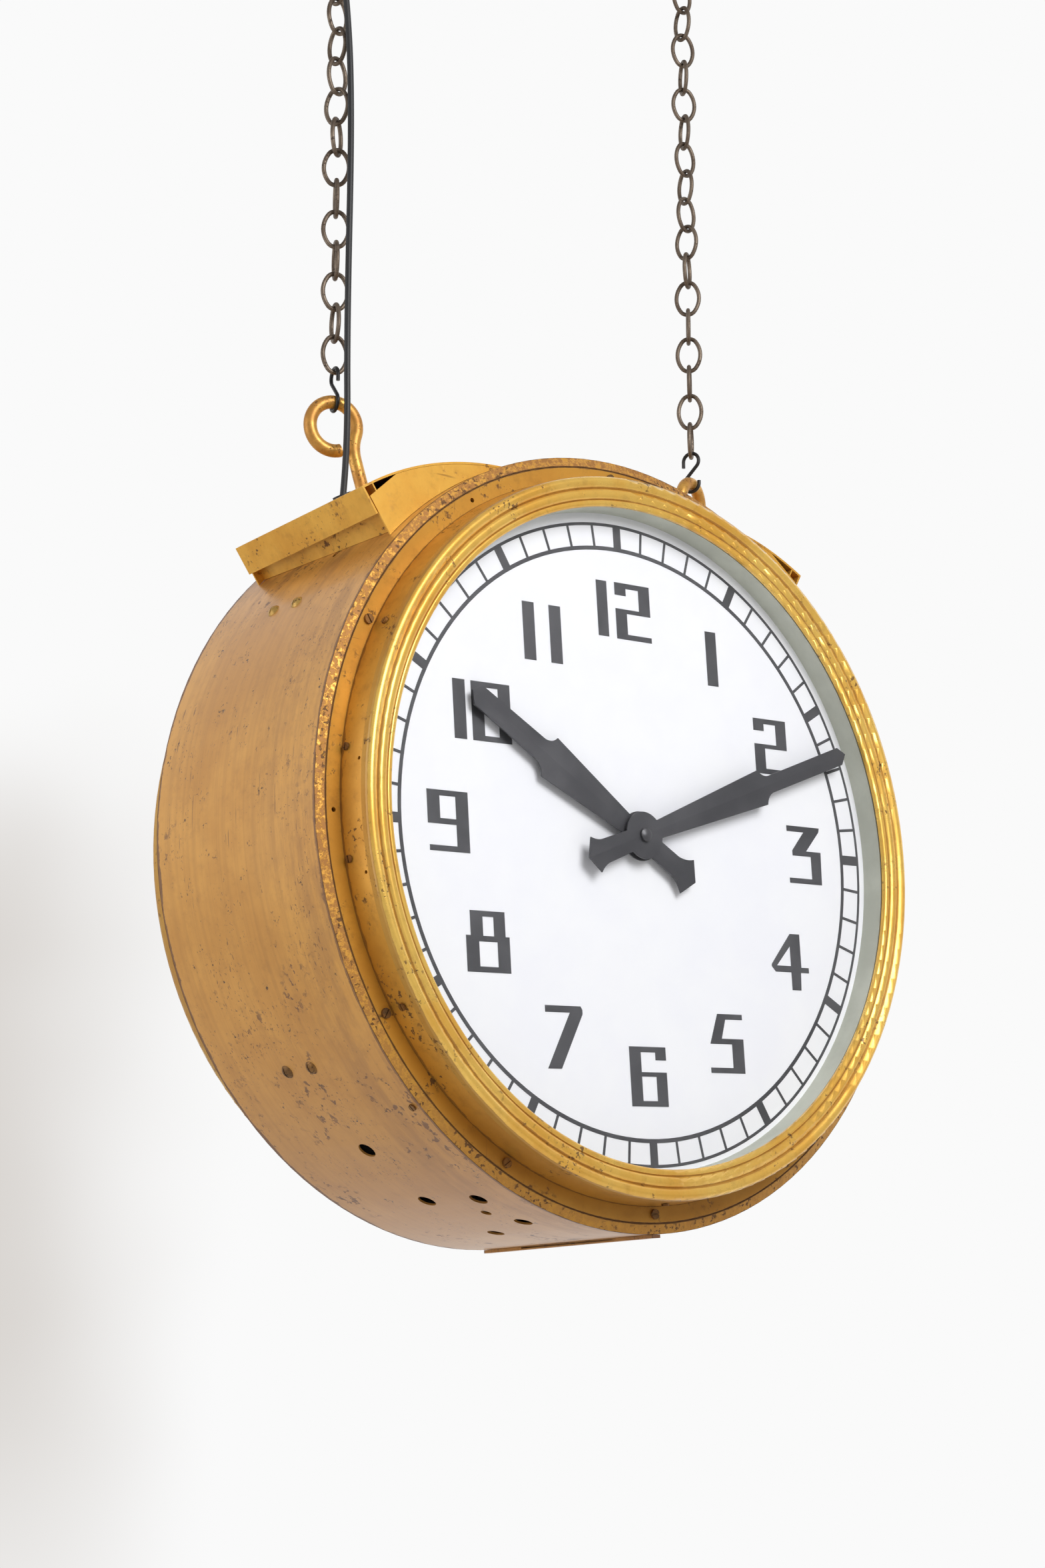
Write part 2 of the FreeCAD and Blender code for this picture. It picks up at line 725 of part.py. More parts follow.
def make_hand_nut():
    """Domed cap nut that closes the end of the arbor."""
    back = DIAL_FRONT + MINUTE_HAND_LIFT + HAND_SHEET + HAND_RIDGE
    front = back + NUT_SKIRT + NUT_DOME
    ball = (NUT_RADIUS**2 + NUT_DOME**2) / (2 * NUT_DOME)
    body = disc(NUT_RADIUS, back, front)
    dome = Part.makeSphere(ball, Vector(0, -(front - ball), 0))
    skirt = disc(NUT_RADIUS, back, back + NUT_SKIRT)
    shape = body.common(dome).fuse(skirt).removeSplitter()
    return shape.cut(disc(ARBOR_RADIUS + RUNNING_CLEARANCE, back - 1, back + NUT_SKIRT))


# Movement


def motor_height():
    return MOTOR_MODULE * (MOTOR_PINION_TEETH + ARBOR_WHEEL_TEETH) / 2


def motion_height():
    return -MOTION_MODULE * (CANNON_TEETH + MINUTE_WHEEL_TEETH) / 2


def case_front():
    return BRIDGE_THICKNESS / 2 + CASE_LENGTH


def mid_plate():
    back = BRIDGE_THICKNESS / 2 + MID_PLATE_OFFSET
    return back, back + CASE_WALL


def make_motor_case():
    """Open backed movement case with a middle plate and a screw ear on each side."""
    back = BRIDGE_THICKNESS / 2
    front = case_front()
    wide = CASE_HALF_WIDTH
    inside = wide - CASE_WALL
    shell = box(-wide, wide, -front, -back, CASE_BOTTOM, CASE_TOP)
    cavity = box(-inside, inside, CASE_WALL - front, 1 - back, CASE_BOTTOM + CASE_WALL, CASE_TOP - CASE_WALL)
    ears = box(-wide - CASE_EAR, wide + CASE_EAR, -back - CASE_WALL, -back, CASE_BOTTOM, CASE_TOP)
    low, high = mid_plate()
    plate = box(-wide, wide, -high, -low, CASE_BOTTOM, CASE_TOP)
    shape = fused([shell, ears]).cut(cavity).fuse(plate).removeSplitter()
    cutters = [
        disc(ARBOR_RADIUS + RUNNING_CLEARANCE, low - 1, high + 1),
        disc(PIPE_RADIUS + RUNNING_CLEARANCE, front - CASE_WALL - 1, front + 1),
        disc(PIVOT_RADIUS + RUNNING_CLEARANCE, low - 1, front - CASE_WALL / 2, 0, motion_height()),
        disc(PIVOT_RADIUS + RUNNING_CLEARANCE, low - 1, high + 1, 0, motor_height()),
    ]
    for x, z in bridge_bolt_places():
        cutters.append(disc(BOLT_RADIUS + FIT_GAP, back - 1, back + CASE_WALL + 1, x, z))
    return shape.cut(cutters)


def make_motor_coil():
    front = mid_plate()[0]
    back = front - ROTOR_LENGTH - 2 * COIL_GAP
    return ring(COIL_RADIUS, ROTOR_RADIUS + COIL_GAP, back, front, 0, motor_height())


def wheel_back():
    """Depth at which the driven wheel and the motor pinion run."""
    return BRIDGE_THICKNESS / 2 + WHEEL_START


def make_motor_pinion():
    """Rotor, its shaft and the pinion that drives the arbor wheel."""
    z = motor_height()
    low, high = mid_plate()
    start = wheel_back() - (PINION_LENGTH - WHEEL_THICKNESS) / 2
    parts = [
        disc(PIVOT_RADIUS, BRIDGE_THICKNESS / 2 - PIVOT_DEPTH, high, 0, z),
        disc(ROTOR_RADIUS, low - ROTOR_LENGTH - COIL_GAP, low - COIL_GAP, 0, z),
    ]
    pinion = gear(MOTOR_PINION_TEETH, MOTOR_MODULE, start, start + PINION_LENGTH, 180)
    pinion.translate(Vector(0, 0, z))
    return fused(parts + [pinion])


def cannon_back():
    return mid_plate()[1] + CANNON_START


def make_centre_arbor():
    """Minute arbor with the driven wheel, the cannon pinion and the hand's shoulder."""
    end = DIAL_FRONT + MINUTE_HAND_LIFT + HAND_SHEET + HAND_RIDGE + NUT_SKIRT - RUNNING_CLEARANCE
    wheel = wheel_back()
    cannon = cannon_back()
    shoulder = DIAL_FRONT + MINUTE_HAND_LIFT
    half_tooth = 180.0 / ARBOR_WHEEL_TEETH
    return fused([
        disc(ARBOR_RADIUS, FIT_GAP, end),
        gear(ARBOR_WHEEL_TEETH, MOTOR_MODULE, wheel, wheel + WHEEL_THICKNESS, half_tooth),
        gear(CANNON_TEETH, MOTION_MODULE, cannon, cannon + PINION_LENGTH, 180),
        disc(ARBOR_RADIUS + SHOULDER_STEP, shoulder - SHOULDER_STEP, shoulder),
    ])


def make_minute_wheel():
    """Wheel and pinion of the motion work on one short shaft."""
    z = motion_height()
    cannon = cannon_back()
    wheel = cannon + (PINION_LENGTH - WHEEL_THICKNESS) / 2
    pinion = cannon + PINION_LENGTH
    parts = [disc(PIVOT_RADIUS, mid_plate()[0], case_front() - CASE_WALL / 2 - FIT_GAP, 0, z)]
    half_tooth = 180.0 / MINUTE_WHEEL_TEETH
    parts.append(gear(MINUTE_WHEEL_TEETH, MOTION_MODULE, wheel, wheel + WHEEL_THICKNESS, half_tooth))
    parts[-1].translate(Vector(0, 0, z))
    pinion_end = pinion + WHEEL_THICKNESS + 2 * FIT_GAP
    parts.append(gear(MINUTE_PINION_TEETH, MOTION_MODULE, wheel, pinion_end, 0))
    parts[-1].translate(Vector(0, 0, z))
    return fused(parts)


def make_hour_wheel():
    """Hour wheel with the long pipe that carries the hour hand."""
    back = cannon_back() + PINION_LENGTH + FIT_GAP
    end = DIAL_FRONT + HOUR_HAND_LIFT + HAND_SHEET + HAND_RIDGE
    half_tooth = 180.0 / HOUR_WHEEL_TEETH
    wheel = gear(HOUR_WHEEL_TEETH, MOTION_MODULE, back, back + WHEEL_THICKNESS, 180 + half_tooth)
    shape = fused([wheel, disc(PIPE_RADIUS, back, end)])
    return shape.cut(disc(ARBOR_RADIUS + RUNNING_CLEARANCE, back - 1, end + 1))


# Inside frame


def bar_height(angle):
    return DRUM_RADIUS * math.cos(math.radians(angle))


def pad_radius():
    """Outer radius of the pads and the saddle that lie inside the drum."""
    return DRUM_RADIUS - DRUM_SHEET - FIT_GAP


def sector(outer, inner, half_width, middle, half_angle):
    """A piece of a ring about the arbor, centred on y = 0."""
    shell = ring(outer, inner, -half_width, half_width)
    reach = 2 * outer
    wedge = [(0, 0)]
    for angle in (middle - half_angle, middle + half_angle):
        point = polar(reach, angle)
        wedge.append((point.x, point.z))
    return shell.common(prism(wedge, -half_width - 1, half_width + 1))


def make_bar(angle):
    """Flat bar across the drum with a curved pad at each end."""
    z = bar_height(angle)
    outer = pad_radius()
    inner = outer - BAR_PAD_WALL
    half = BAR_WIDTH / 2
    reach = math.sqrt(inner**2 - z**2)
    flat = box(-reach - 1, reach + 1, -half, half, z - BAR_THICKNESS / 2, z + BAR_THICKNESS / 2)
    flat = flat.common(disc(inner + BAR_PAD_WALL / 2, -half, half))
    pads = [sector(outer, inner, half, side * angle, BAR_PAD_ANGLE) for side in (-1, 1)]
    shape = fused([flat] + pads)
    shape.translate(Vector(0, BAR_OFFSET, 0))
    cutters = []
    for side in (-1, 1):
        for y in bar_screw_places():
            hole = radial_hole(side * angle, -y, BAR_SCREW_SHANK + FIT_GAP, inner - 5, 20)
            cutters.append(hole)
    for x, y in foot_bolt_places():
        foot = Vector(x, y, z - BAR_THICKNESS)
        cutters.append(Part.makeCylinder(BOLT_RADIUS + FIT_GAP, BAR_THICKNESS + 2, foot))
    return shape.cut(cutters)


def bar_screw_places():
    return (BAR_OFFSET - BAR_SCREW_SPACING / 2, BAR_OFFSET + BAR_SCREW_SPACING / 2)


def foot_bolt_places():
    y = BRIDGE_THICKNESS / 2 + BRIDGE_FOOT_DEPTH / 2
    return ((-BRIDGE_WIDTH / 4, y), (BRIDGE_WIDTH / 4, y))


def bridge_bolt_places():
    x = CASE_HALF_WIDTH + CASE_EAR / 2
    inset = CASE_EAR
    return [(side * x, z) for side in (-1, 1) for z in (CASE_BOTTOM + inset, CASE_TOP - inset)]


def make_bar_screws(angle):
    screws = []
    for side in (-1, 1):
        for y in bar_screw_places():
            one = screw(BAR_SCREW_HEAD, BAR_SCREW_DOME, BAR_SCREW_SHANK, BAR_SCREW_LENGTH, dome=True)
            screws.append(seat_after(one, polar(DRUM_RADIUS, side * angle, -y), polar(1, side * angle)))
    return screws


def make_rim_screw():
    one = screw(NECK_SCREW_HEAD, NECK_SCREW_HEAD_HEIGHT, SIDE_SCREW_SHANK, SIDE_SCREW_LENGTH)
    return seat_after(one, polar(DRUM_RADIUS, RIM_SCREW_ANGLE, RIM_SCREW_DEPTH), polar(1, RIM_SCREW_ANGLE))


def bridge_span():
    top = bar_height(UPPER_BAR_ANGLE) - BAR_THICKNESS / 2
    bottom = bar_height(LOWER_BAR_ANGLE) + BAR_THICKNESS / 2
    return bottom, top


def make_bridge():
    """Upright plate between the bars that carries both movements, with a foot at each end."""
    bottom, top = bridge_span()
    half = BRIDGE_THICKNESS / 2
    foot_x = BRIDGE_WIDTH / 2
    deep = half + BRIDGE_FOOT_DEPTH
    parts = [
        box(-foot_x, foot_x, -half, half, bottom, top),
        box(-BRIDGE_PAD_WIDTH / 2, BRIDGE_PAD_WIDTH / 2, -half, half, CASE_BOTTOM, CASE_TOP),
        box(-foot_x, foot_x, -half, deep, top - BRIDGE_FOOT_THICKNESS, top),
        box(-foot_x, foot_x, -half, deep, bottom, bottom + BRIDGE_FOOT_THICKNESS),
    ]
    cutters = [disc(ARBOR_RADIUS + RUNNING_CLEARANCE, -half - 1, half + 1)]
    pivot = PIVOT_RADIUS + RUNNING_CLEARANCE
    for back, front in ((half - PIVOT_DEPTH - FIT_GAP, half + 1), (-half - 1, FIT_GAP + PIVOT_DEPTH - half)):
        cutters.append(disc(pivot, back, front, 0, motor_height()))
    for x, z in bridge_bolt_places():
        cutters.append(disc(BOLT_RADIUS + FIT_GAP, -half - 1, half + 1, x, z))
    for x, y in foot_bolt_places():
        for z in (bottom - 1, top - BRIDGE_FOOT_THICKNESS - 1):
            depth = BRIDGE_FOOT_THICKNESS + 2
            cutters.append(Part.makeCylinder(BOLT_RADIUS + FIT_GAP, depth, Vector(x, y, z)))
    return fused(parts).cut(cutters)


def bolt_and_nut(grip):
    """Hexagon bolt along +Z whose head sits on top of a grip, and its nut below."""
    head = hexagon(BOLT_FLATS, BOLT_HEAD_HEIGHT)
    length = grip + BOLT_NUT_HEIGHT + 1
    shank = Part.makeCylinder(BOLT_RADIUS, length, Vector(0, 0, -length))
    collar = nut(BOLT_FLATS, BOLT_NUT_HEIGHT, BOLT_RADIUS + RUNNING_CLEARANCE)
    collar.translate(Vector(0, 0, -grip - BOLT_NUT_HEIGHT))
    return [head.fuse(shank), collar]


def make_bridge_bolts():
    bottom, top = bridge_span()
    solids = []
    grip = BRIDGE_THICKNESS + 2 * CASE_WALL
    for x, z in bridge_bolt_places():
        for piece in bolt_and_nut(grip):
            solids.append(seat_after(piece, Vector(x, -grip / 2, z), Vector(0, -1, 0)))
    grip = BRIDGE_FOOT_THICKNESS + BAR_THICKNESS
    for x, y in foot_bolt_places():
        for piece in bolt_and_nut(grip):
            solids.append(seat_after(piece, Vector(x, y, top + BAR_THICKNESS), Z_AXIS))
        for piece in bolt_and_nut(grip):
            solids.append(seat_after(piece, Vector(x, y, bottom + BRIDGE_FOOT_THICKNESS), Z_AXIS))
    return Part.makeCompound(solids)


def make_terminal_block():
    """Ceramic block on the upper bar, with two rows of wire holes."""
    z = bar_height(UPPER_BAR_ANGLE) + BAR_THICKNESS / 2
    x = -BLOCK_PLACE
    y = BAR_OFFSET
    across, deep = BLOCK_LENGTH / 2, BLOCK_WIDTH / 2
    shape = box(x - across, x + across, y - deep, y + deep, z, z + BLOCK_HEIGHT)
    step = BLOCK_LENGTH / 3
    holes = []
    for k in (-1, 0, 1):
        at = Vector(x + k * step, y - BLOCK_WIDTH, z + BLOCK_HEIGHT / 2)
        holes.append(Part.makeCylinder(BLOCK_HOLE_RADIUS, 2 * BLOCK_WIDTH, at, Y_AXIS))
    return shape.cut(holes)


# Drum and bottom cover


def make_drum():
    inner = DRUM_RADIUS - DRUM_SHEET
    back = HALF_DEPTH - DRUM_SHEET
    shape = turned((
        (DRUM_RADIUS, -HALF_DEPTH),
        (DRUM_RADIUS, HALF_DEPTH),
        (DRUM_LIP_RADIUS, HALF_DEPTH),
        (DRUM_LIP_RADIUS, back),
        (inner, back),
        (inner, -back),
        (DRUM_LIP_RADIUS, -back),
        (DRUM_LIP_RADIUS, -HALF_DEPTH),
    ))
    start = inner - 10
    cutters = []
    for angle, y, radius in DRUM_HOLES:
        cutters.append(radial_hole(angle, -y, radius, start, 20))
    for angle in (-UPPER_BAR_ANGLE, UPPER_BAR_ANGLE, -LOWER_BAR_ANGLE, LOWER_BAR_ANGLE):
        for y in bar_screw_places():
            cutters.append(radial_hole(angle, -y, BAR_SCREW_SHANK + FIT_GAP, start, 20))
    cutters.append(radial_hole(RIM_SCREW_ANGLE, RIM_SCREW_DEPTH, SIDE_SCREW_SHANK + FIT_GAP, start, 20))
    for angle in ring_screw_angles():
        at = polar(RING_SCREW_RADIUS, angle)
        cutters.append(disc(RING_SCREW_SHANK + FIT_GAP, -HALF_DEPTH - 1, HALF_DEPTH + 1, at.x, at.z))
    half = SEAM_LENGTH / 2
    seam = (COVER_WIDTH - SEAM_WIDTH) / 2
    cutters.append(box(seam, seam + SEAM_WIDTH, -half, half, -DRUM_RADIUS - 10, -inner + 10))
    for side in (-1, 1):
        cutters.append(stem_hole(side))
    cutters.append(cable_way(CABLE_RADIUS + 2 * CABLE_CLEARANCE))
    return shape.cut(cutters)


def make_bottom_cover():
    """Narrow strip over the drum's bottom seam, hollow, with a long slot in its left side."""
    low = -DRUM_RADIUS - COVER_DROP
    top = low + 4 * COVER_DROP
    sheet = COVER_SHEET
    shape = box(0, COVER_WIDTH, -HALF_DEPTH, HALF_DEPTH, low, top)
    hollow = box(sheet, COVER_WIDTH - sheet, sheet - HALF_DEPTH, HALF_DEPTH - sheet, low + sheet, top + 1)
    slot_z = low + sheet + COVER_SLOT_RISE
    half = COVER_SLOT_LENGTH / 2
    slot = box(-1, sheet + 1, -half, half, slot_z, slot_z + COVER_SLOT_HEIGHT)
    return shape.cut([hollow, slot, disc(DRUM_RADIUS + FIT_GAP, -HALF_DEPTH - 1, HALF_DEPTH + 1)])


# Eye bolt hoods, built on the right and turned half round to the left


def hood_point(t, n):
    turn = math.radians(HOOD_ANGLE)
    return (n * math.sin(turn) - t * math.cos(turn), n * math.cos(turn) + t * math.sin(turn))


def hood_prism(points, y0, y1):
    return prism([hood_point(t, n) for t, n in points], y0, y1)


def roof_disc(radius, half):
    return disc(radius, -half, half, ROOF_CENTRE_X, ROOF_CENTRE_Z)


def hood_tilt(side):
    """Middle of a hood's crown, the level line its crown rocks about, and the angle it rocks."""
    x, z = hood_point(0, hood_crown())
    turn = math.radians(HOOD_ANGLE)
    return Vector(side * x, 0, z), Vector(-side * math.cos(turn), 0, math.sin(turn)), -HOOD_TILT


def tilted(shape):
    """Rocks a right hood's sheet so that its front end is the lower one."""
    shape.rotate(*hood_tilt(1))
    return shape


def on_side(shape, side):
    if side < 0:
        shape.rotate(Vector(), Z_AXIS, 180)
    return shape


def make_lid(side):
    """Curved roof sheet with its outer end turned down."""
    half = HOOD_HALF_LENGTH
    inner = ROOF_RADIUS - ROOF_SHEET
    crown = hood_crown()
    span = hood_prism(
        ((ROOF_END, crown - LIP_LENGTH), (ROOF_END, crown + 1), (90, crown + 1), (90, crown - 60)),
        -half,
        half,
    )
    sheet = roof_disc(ROOF_RADIUS, half).cut(roof_disc(inner, half + 1)).common(span)
    edge = ROOF_END + ROOF_SHEET
    lip = hood_prism(
        ((ROOF_END, crown - LIP_LENGTH), (ROOF_END, crown - 0.02), (edge, crown - 0.02), (edge, crown - LIP_LENGTH)),
        -half,
        half,
    )
    shape = tilted(fused([sheet, lip])).cut(disc(DRUM_RADIUS + FIT_GAP, -HALF_DEPTH, HALF_DEPTH))
    shape = on_side(shape, side).cut(stem_hole(side))
    if side < 0:
        on_roof, out = grommet_seat()
        shape = shape.cut(Part.makeCylinder(GROMMET_HOLE_RADIUS + FIT_GAP, 20, on_roof - out * 10, out))
    return shape


def hood_crown():
    """Height of the roof's outer corner along the hood's own upright."""
    turn = math.radians(HOOD_ANGLE)
    centre = ROOF_CENTRE_X * math.sin(turn) + ROOF_CENTRE_Z * math.cos(turn)
    return centre + ROOF_RADIUS


def make_hood(side):
    """Two cheeks and an end wall that stand on the drum under the roof."""
    half = HOOD_HALF_LENGTH - FIT_GAP
    crown = hood_crown()
    under = crown - ROOF_SHEET - FIT_GAP
    foot = DRUM_RADIUS - 20
    cheek = (
        (CHEEK_END, foot),
        (CHEEK_END, CHEEK_CORNER),
        (CHEEK_CLOSES, under - 3),
        (CHEEK_CLOSES + 5, crown),
        (90, crown),
        (90, foot),
    )
    wall = ((END_WALL, foot), (END_WALL, crown), (END_WALL - HOOD_SHEET, crown), (END_WALL - HOOD_SHEET, foot))
    parts = [
        hood_prism(cheek, -half, HOOD_SHEET - half),
        hood_prism(cheek, half - HOOD_SHEET, half),
        hood_prism(wall, -half, half),
    ]
    shape = fused(parts).common(roof_disc(ROOF_RADIUS - ROOF_SHEET - FIT_GAP, half + 1))
    shape = tilted(shape).cut(disc(DRUM_RADIUS + FIT_GAP, -HALF_DEPTH, HALF_DEPTH))
    return on_side(shape, side)


# Eye bolts


def eye_frame(side):
    """Ring centre, foot of the stem on the roof, outward and stem directions, and offsets."""
    lean = math.radians(STEM_LEAN)
    turn = math.radians(EYE_TURN_RIGHT if side > 0 else EYE_TURN_LEFT)
    stem = Vector(side * math.sin(lean), 0, math.cos(lean))
    flat_out = Vector(side * math.cos(lean), 0, -math.sin(lean))
    out = flat_out * math.cos(turn) + Y_AXIS * math.sin(turn)
    normal = stem.cross(out)
    if normal.y < 0:
        normal = normal * -1
    up = world_up()
    rise = (up - normal * up.dot(normal)).normalize()
    centre = hang_point(side) - rise * EYE_RING_RADIUS
    hub = Vector(side * ROOF_CENTRE_X, 0, ROOF_CENTRE_Z)
    offset = (centre - hub).dot(flat_out) / math.cos(turn)
    height = (centre - hub).dot(stem) - ROOF_RADIUS
    foot = centre - out * offset - stem * height
    return centre, foot, out, stem, offset, height, normal


def hang_point(side):
    """Where an S hook bears on its eye, in the clock's own frame."""
    return Vector(side * EYE_SPAN / 2, 0, HANG_RISE_RIGHT if side > 0 else HANG_RISE_LEFT)


def world_up():
    turn = math.radians(ROLL)
    return Vector(math.sin(turn), 0, math.cos(turn))


def stem_hole(side):
    foot, stem = eye_frame(side)[1], eye_frame(side)[3]
    length = stem_length() + 10
    return Part.makeCylinder(EYE_ROD_RADIUS + 2 * FIT_GAP, length, foot - stem * (length - 5), stem)


def saddle_drop(side):
    """Distance down the stem from the roof to the inside of the saddle."""
    foot, stem = eye_frame(side)[1], eye_frame(side)[3]
    inner = pad_radius() - SADDLE_THICKNESS
    across = foot.x * stem.x + foot.z * stem.z
    square = foot.x**2 + foot.z**2 - inner**2
    return across - math.sqrt(across**2 - square)


def washer_bottom():
    slope = math.tan(math.radians(18))
    return saddle_drop(1) + WASHER_RADIUS * slope + 1.5


def stem_length():
    return washer_bottom() + NUT_HEIGHT + STEM_SPARE


def make_eye_bolt(side):
    """Rod bent into an open ring at the top, threaded stem below."""
    foot, out, stem, offset, height = eye_frame(side)[1:6]

    def at(q, s):
        return foot + out * q + stem * s

    def on_ring(angle):
        turn = math.radians(angle)
        return at(offset + EYE_RING_RADIUS * math.cos(turn), height + EYE_RING_RADIUS * math.sin(turn))

    rise = height - STEM_STRAIGHT
    bend = (offset**2 + rise**2 - EYE_RING_RADIUS**2) / (2 * (EYE_RING_RADIUS - offset))
    turn = math.atan2(rise, offset + bend)
    meet = 180 + math.degrees(turn)
    edges = [
        Part.makeLine(at(0, -stem_length()), at(0, STEM_STRAIGHT)),
        Part.Arc(
            at(0, STEM_STRAIGHT),
            at(bend * math.cos(turn / 2) - bend, STEM_STRAIGHT + bend * math.sin(turn / 2)),
            at(bend * math.cos(turn) - bend, STEM_STRAIGHT + bend * math.sin(turn)),
        ).toShape(),
        Part.Arc(on_ring(meet), on_ring((meet + 90) / 2), on_ring(90)).toShape(),
        Part.Arc(on_ring(90), on_ring(0), on_ring(EYE_RING_END)).toShape(),
    ]
    return tube(edges, EYE_ROD_RADIUS)


def make_eye_bolt_nuts():
    """A tapered washer and a nut inside the saddle on each stem."""
    solids = []
    inside = disc(pad_radius() - SADDLE_THICKNESS, -HALF_DEPTH, HALF_DEPTH)
    for side in (-1, 1):
        foot, stem = eye_frame(side)[1], eye_frame(side)[3]
        bore = EYE_ROD_RADIUS + FIT_GAP
        low = foot - stem * washer_bottom()
        length = washer_bottom()
        washer = Part.makeCylinder(WASHER_RADIUS, length, low, stem).cut(Part.makeCylinder(bore, length, low, stem))
        solids.append(washer.common(inside))
        collar = nut(NUT_FLATS, NUT_HEIGHT, bore)
        solids.append(seat_after(collar, low - stem * NUT_HEIGHT, stem))
    return Part.makeCompound(solids)


def make_saddle():
    """Curved strip under the top of the drum that spreads the pull of both stems."""
    outer = pad_radius()
    shape = sector(outer, outer - SADDLE_THICKNESS, SADDLE_WIDTH / 2, 0, SADDLE_ANGLE)
    return shape.cut([stem_hole(-1), stem_hole(1)])


# Placing the clock under the ceiling


def link_turns(side):
    return RIGHT_LINK_TURNS if side > 0 else LEFT_LINK_TURNS


def hook_arc_height(side):
    """Height of the centre of a ceiling hook's bend."""
    return -PLATE_THICKNESS - (HOOK_DROP_RIGHT if side > 0 else HOOK_DROP_LEFT)


def swing_height(side):
    """Height of the top link's upper rod, where it hangs in its ceiling hook."""
    return hook_arc_height(side) - HOOK_RADIUS + HOOK_ROD_RADIUS + HANG_GAP + LINK_WIRE / 2


def link_rod_height(side):
    """Height of the lowest link's bottom rod, under the ceiling."""
    return swing_height(side) - len(link_turns(side)) * LINK_PITCH - LINK_WIRE - HANG_GAP


def s_centre_heights(side):
    """Heights of the centres of an S hook's upper and lower bends."""
    inner = S_RADIUS - S_WIRE / 2
    upper = link_rod_height(side) - inner + HANG_GAP + LINK_WIRE / 2
    return upper, upper - S_CENTRES


def hang_height(side):
    inner = S_RADIUS - S_WIRE / 2
    return s_centre_heights(side)[1] - inner + HANG_GAP + EYE_ROD_RADIUS


def clock_to_world(point):
    turn = math.radians(ROLL)
    middle = (hang_height(-1) + hang_height(1)) / 2
    x = point.x * math.cos(turn) - (point.z - HANG_RISE) * math.sin(turn)
    z = point.x * math.sin(turn) + (point.z - HANG_RISE) * math.cos(turn)
    return Vector(x, point.y, z + middle)


def to_clock(vector):
    """Turns a direction of the room into the clock's own frame."""
    turn = math.radians(ROLL)
    x = vector.x * math.cos(turn) + vector.z * math.sin(turn)
    z = vector.z * math.cos(turn) - vector.x * math.sin(turn)
    return Vector(x, vector.y, z)


def to_clock_point(point):
    middle = (hang_height(-1) + hang_height(1)) / 2
    local = to_clock(Vector(point.x, point.y, point.z - middle))
    return Vector(local.x, local.y, local.z + HANG_RISE)


def hung(shape):
    """Rolls a shape of the clock and hangs it under the ceiling."""
    middle = (hang_height(-1) + hang_height(1)) / 2
    shape = shape.copy()
    shape.translate(Vector(0, 0, -HANG_RISE))
    shape.rotate(Vector(), Y_AXIS, -ROLL)
    shape.translate(Vector(0, 0, middle))
    return shape


# Hanging gear, in the room's frame


def hang_normal(side):
    """Level direction square to an eye's ring, pointing to the back."""
    normal = eye_frame(side)[6]
    turn = math.radians(ROLL)
    x = normal.x * math.cos(turn) - normal.z * math.sin(turn)
    return Vector(x, normal.y, 0).normalize()


def make_s_hook(side):
    """Wire S: the shank crosses between two opposite bends that stand one above the other."""
    upper, lower = s_centre_heights(side)
    along = hang_normal(side) * side
    base = clock_to_world(hang_point(side))
    turn = math.asin(2 * S_RADIUS / S_CENTRES)

    def at(u, z):
        return Vector(base.x, base.y, 0) + along * u + Vector(0, 0, z)

    def on_bend(height, angle):
        bend = math.radians(angle)
        return at(S_RADIUS * math.cos(bend), height + S_RADIUS * math.sin(bend))

    cross = math.degrees(turn)
    edges = [
        Part.makeLine(at(S_RADIUS, upper - S_UPPER_TIP), at(S_RADIUS, upper)),
        Part.Arc(on_bend(upper, 0), on_bend(upper, 90 + cross / 2), on_bend(upper, 180 + cross)).toShape(),
        Part.makeLine(on_bend(upper, 180 + cross), on_bend(lower, cross)),
        Part.Arc(on_bend(lower, cross), on_bend(lower, cross / 2 - 90), on_bend(lower, -180)).toShape(),
        Part.makeLine(at(-S_RADIUS, lower), at(-S_RADIUS, lower + S_LOWER_TIP)),
    ]
    return tube(edges, S_WIRE / 2)


def make_link():
    """One oval chain link of four tangent arcs, standing in the XZ plane about its middle."""
    wire = LINK_WIRE / 2
    reach = LINK_REACH / 2 - LINK_END_RADIUS
    shift = (LINK_HALF_WIDTH**2 + reach**2 - LINK_END_RADIUS**2) / (2 * (LINK_HALF_WIDTH - LINK_END_RADIUS))
    turn = math.degrees(math.atan2(reach, shift - LINK_HALF_WIDTH))
    end = Part.Face(Part.Wire(Part.makeCircle(wire, Vector(LINK_END_RADIUS, 0, reach), Z_AXIS)))
    end.rotate(Vector(0, 0, reach), Y_AXIS, -turn)
    end = end.revolve(Vector(0, 0, reach), Y_AXIS, 2 * turn - 180)
    middle = Vector(LINK_HALF_WIDTH - shift, 0, 0)
    bow = Part.Face(Part.Wire(Part.makeCircle(wire, Vector(LINK_HALF_WIDTH, 0, 0), Z_AXIS)))
    bow.rotate(middle, Y_AXIS, turn)
    bow = bow.revolve(middle, Y_AXIS, -2 * turn)
    parts = [end, bow]
    for shape in (end, bow):
        other = shape.copy()
        other.rotate(Vector(), Y_AXIS, 180)
        parts.append(other)
    return fused(parts)


def make_chain(side):
    """Links hung one in another, each turned about the upright as the hanging chain lies."""
    base = clock_to_world(hang_point(side))
    link = make_link()
    low = link_rod_height(side)
    links = []
    for k, turn in enumerate(link_turns(side)):
        one = link.copy()
        one.rotate(Vector(), Z_AXIS, turn)
        one.translate(Vector(base.x, base.y, low + LINK_REACH / 2 + k * LINK_PITCH))
        links.append(one)
    return Part.makeCompound(links)


